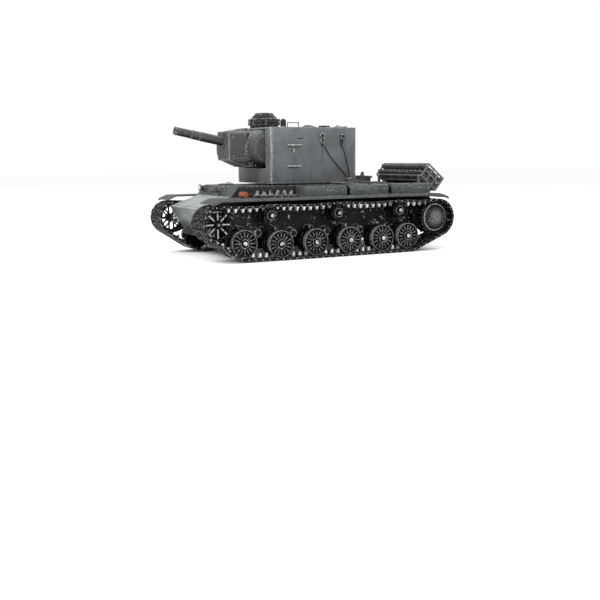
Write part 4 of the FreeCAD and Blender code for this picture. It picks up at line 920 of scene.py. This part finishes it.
def turret_details():
    """Weld beads at the corners and round the roof, and the bolts of the roof and front."""
    corner, crease, tail = 53.84, 55.3, 50
    roof_z = 177
    for_beads = []
    for sign in (1, -1):
        for_beads.append([(sign * corner, -83.5, 101), (sign * corner, -83.5, roof_z - 0.4)])
        for_beads.append([(sign * tail, 53.5, 101), (sign * tail, 53.5, roof_z - 0.4)])
    bead("turret_corner_welds", "turret", turret_paint, for_beads, 0.42, "turret_paint")
    outline = [(corner, -83.3), (crease - 0.2, -12), (tail, 53.3)]
    outline = [(-corner, -83.3), *outline, *((-x, y) for x, y in reversed(outline))]
    roof = [(x, y, roof_z) for x, y in outline]
    bead("turret_roof_weld", "turret", turret_paint, [roof], 0.3, "turret_paint")

    spots = row((-49, -79, roof_z), (-49, 48, roof_z), 10, UP)
    spots += row((49, -79, roof_z), (49, 48, roof_z), 10, UP)
    spots += ring_of((30, -12, 178.4), 9.2, 10, UP) + ring_of((-26, 20, 178.4), 7, 8, UP)
    spots += ring_of((CUPOLA_X, CUPOLA_Y, roof_z), 23.8, 14, UP, 0.22)
    spots += ring_of((30, 39, 178), 8.8, 8, UP)
    spots += [((22.5 + dx, 5.5 + dy, 178), UP) for dx in (1, 14) for dy in (1, 8, 15)]
    studs("roof_bolts", "turret", cupola_paint, spots, 0.6, 0.6, slot="turret_paint")

    spots = []
    for z in (106, 119, 132, 145, 158, 170):
        for x in (44, -44):
            spots.append(((x, -83.5, z), (0, -1, 0)))
    studs("front_plate_bolts", "turret", turret_paint, spots, 0.85, 0.7, slot="turret_paint")
    wire("roof_grips", "turret", steel, [
        [(27, 36, 179.0), (27, 36, 181.0), (33, 36, 181.0), (33, 36, 179.0)],
    ], 0.45, True, "turret_paint")


turret_details()


def mantlet_details():
    """Bright rivets round the flange on each side of the shield, and its side and face bolts."""
    trunnion = Vector((0, -79.5, 148))
    flange = 26.4
    rivets = []
    for sign in (1, -1):
        for step in range(10):
            angle = math.radians(-58 + 116 * step / 9)
            out = (0, -math.cos(angle), math.sin(angle))
            rivets.append((trunnion + Vector((sign * 25.2, out[1] * flange, out[2] * flange)), out))
    studs("mantlet_rivets", "gun_mount", bright_metal, rivets, 0.85, 0.75, slot="turret_paint")
    bolts = [((22, y, z), (1, 0, 0))
             for y, z in ((-107.5, 167.5), (-107.5, 141), (-125, 164), (-125, 138))]
    bolts += [((-22, y, z), (-1, 0, 0)) for y, z in ((-107.5, 152), (-125, 150))]
    bolts += [((x, -131.5, z), (0, -1, 0))
              for x, z in ((17, 166), (17, 139), (-13, 166), (-12, 139))]
    studs("shield_bolts", "gun_mount", bright_metal, bolts, 0.95, 0.8, slot="turret_paint")
    angle = math.radians(11.5)
    axis = Vector((0, -math.cos(angle), math.sin(angle)))
    lathe("gun_collar_ring", "gun_mount", gun_metal, trunnion + axis * 50.4, axis,
          ((6.6, -3), (9.4, -3), (9.4, 2.2), (8.8, 3.0), (7.2, 3.2), (6.6, 3.0)),
          40, "gun_metal", hole=True)


mantlet_details()


def cupola_details():
    """Dark glass in each vision block, a hood over it, and a grip on each leaf."""
    centre = Vector((CUPOLA_X, CUPOLA_Y, 0))
    for index in range(7):
        turn = Matrix.Rotation(math.tau * index / 7, 3, "Z")
        spot = centre + turn @ Vector((22.2, 0, 186.6))
        slab(f"vision_glass_{index}", "turret", glass, spot, (0.7, 8.6, 2.0), turn, 0.15,
             "turret_paint")
        spot = centre + turn @ Vector((21.2, 0, 190.6))
        slab(f"vision_hood_{index}", "turret", cupola_paint, spot, (2.2, 11, 0.7), turn, 0.2,
             "turret_paint")
    for side, sign in SIDES:
        x = CUPOLA_X + sign * 7
        wire(f"lid_grip_{side}", "hatch_" + side, steel, [
            [(x, -58.5, 198.2), (x, -58.5, 199.1), (x, -50, 199.1), (x, -50, 198.2)]], 0.28,
            True, "turret_paint")


cupola_details()


def door_details():
    """Bolts and the pistol port of the rear door."""
    spots = [((x, 56.3, z), (0, 1, 0)) for x in (-14, 14) for z in (116, 126, 140, 150)]
    studs("door_bolts", "door", turret_paint, spots, 0.8, 0.6, slot="turret_paint")
    lathe("door_port", "door", turret_paint, (0, 56.2, 133), (0, 1, 0),
          ((4.2, -0.2), (4.2, 0.7), (3.6, 1.2), (2.4, 1.3), (2.2, 0.8), (0.3, 0.8)),
          28, "turret_paint")


door_details()


# ------------------------------------------------------------------ rack details

def rack_details():
    """Bolts on the rack's end plates, and a band round each shell."""
    tilt = math.radians(-39.9)
    turn = Matrix.Rotation(tilt, 3, "X")
    origin = Vector((0, 161.6, 107.5))
    spots = []
    for x, out in ((61, 1), (-61, -1)):
        for y in (1.2, 12.6, 24, 35.3):
            for z in (1.2, 12, 22.8):
                spots.append((origin + turn @ Vector((x, y, z)), (out, 0, 0)))
    studs("rack_bolts", "hull", steel, spots, 0.6, 0.5, slot="hull_paint")
    bands = []
    band_radius = 4.35
    for z in (6.4, 17.2):
        for index in range(11):
            x = -55 + 11 * index
            ring = []
            for step in range(17):
                a = math.tau * step / 16
                spot = Vector((x + band_radius * math.cos(a), 9.4, z + band_radius * math.sin(a)))
                ring.append(origin + turn @ spot)
            bands.append(ring)
    wire("shell_bands", "hull", steel, bands, 0.3, slot="shell_metal")


rack_details()


# ------------------------------------------------------------------ wire ropes

ROPES = {
    "rope_front": [
        (57.6, -4.0, 154.6),
        (57.5, 2.5, 143.0),
        (56.3, 14.0, 130.4),
        (54.6, 27.6, 117.4),
        (53.2, 38.8, 107.4),
    ],
    "rope_rear": [
        (54.6, 30.5, 151.2),
        (54.3, 33.2, 140.2),
        (53.9, 36.8, 129.0),
        (53.5, 40.2, 118.2),
        (53.1, 42.6, 107.4),
    ],
}


def route_line(name, route):
    """The rope's smooth centre line as a NURBS curve."""
    curve = bpy.data.curves.new(name, "CURVE")
    curve.dimensions = "3D"
    curve.resolution_u = 24
    line = curve.splines.new("NURBS")
    line.points.add(len(route) - 1)
    for point, spot in zip(line.points, route):
        point.co = (*(Vector(spot) * MM), 1)
    line.order_u = 3
    line.use_endpoint_u = True
    return curve


def twisted_rope(name, route):
    """Six strands laid round the rope's line, as one mesh tube."""
    curve = route_line(name + "_line", route)
    probe = bpy.data.objects.new(name + "_probe", curve)
    mesh = bpy.data.meshes.new_from_object(probe)
    path = [vertex.co.copy() for vertex in mesh.vertices]
    bpy.data.objects.remove(probe)
    lengths = [0.0]
    for a, b in zip(path, path[1:]):
        lengths.append(lengths[-1] + (b - a).length)
    work = bmesh.new()
    around, strands, radius = 36, 6, 0.7 * MM
    before = None
    steps = int(lengths[-1] / (0.25 * MM))
    index = 0
    for step in range(steps + 1):
        want = lengths[-1] * step / steps
        while index < len(path) - 2 and lengths[index + 1] < want:
            index += 1
        share = (want - lengths[index]) / (lengths[index + 1] - lengths[index])
        middle = path[index].lerp(path[index + 1], share)
        ahead = (path[min(index + 2, len(path) - 1)] - path[max(index - 1, 0)]).normalized()
        side = ahead.cross(Vector((1, 0, 0))).normalized()
        other = ahead.cross(side)
        ring = []
        for turn in range(around):
            angle = math.tau * turn / around
            lay = want / (5.5 * MM) * math.tau
            swell = radius * (0.8 + 0.2 * abs(math.cos((angle - lay) * strands / 2)))
            ring.append(work.verts.new(
                middle + (side * math.cos(angle) + other * math.sin(angle)) * swell))
        if before:
            for turn in range(around):
                after = (turn + 1) % around
                work.faces.new((before[turn], before[after], ring[after], ring[turn]))
        else:
            work.faces.new(ring[::-1])
        before = ring
    work.faces.new(before)
    piece = from_bmesh(name + "_wire", work, "turret", rope_wire, "rope_wire")
    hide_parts(name)
    return piece


for rope_name, rope_route in ROPES.items():
    twisted_rope(rope_name, rope_route)
    ends = []
    for tip, inner in ((rope_route[0], rope_route[1]), (rope_route[-1], rope_route[-2])):
        tip, inner = Vector(tip), Vector(inner)
        ends.append([tip, tip + (inner - tip).normalized() * 3.6])
    wire(rope_name + "_ferrules", "turret", steel, ends, 1.05, slot="rope_wire")


# ------------------------------------------------------------------ studio

def studio():
    """Even white surroundings, three soft lamps and a plain pale floor."""
    world = bpy.data.worlds.new("studio")
    world.use_nodes = True
    world.node_tree.nodes["Background"].inputs[0].default_value = (1, 1, 1, 1)
    world.node_tree.nodes["Background"].inputs[1].default_value = 1.0
    bpy.context.scene.world = world
    p = Paint("floor_paper")
    p.finish((0.95, 0.95, 0.95), 0.9)
    mesh = bpy.data.meshes.new("floor")
    half = 6
    mesh.from_pydata(
        [(-half, -half, 0), (half, -half, 0), (half, half, 0), (-half, half, 0)],
        [], [(0, 1, 2, 3)])
    mesh.materials.append(p.material)
    floor = bpy.data.objects.new("floor", mesh)
    bpy.context.scene.collection.objects.link(floor)
    for name, spot, size, power in (
        ("key", (0.35, -1.3, 1.3), 0.9, 26),
        ("fill", (1.7, -0.2, 0.75), 1.2, 11),
        ("rear", (-0.8, 1.0, 1.4), 1.0, 14),
    ):
        data = bpy.data.lights.new(name, "AREA")
        data.energy = power
        data.size = size
        lamp = bpy.data.objects.new(name, data)
        lamp.location = spot
        aim = Vector((0, 0, 0.09)) - Vector(spot)
        lamp.rotation_euler = aim.to_track_quat("-Z", "Y").to_euler()
        bpy.context.scene.collection.objects.link(lamp)
    bpy.context.scene.view_settings.view_transform = "Standard"


studio()
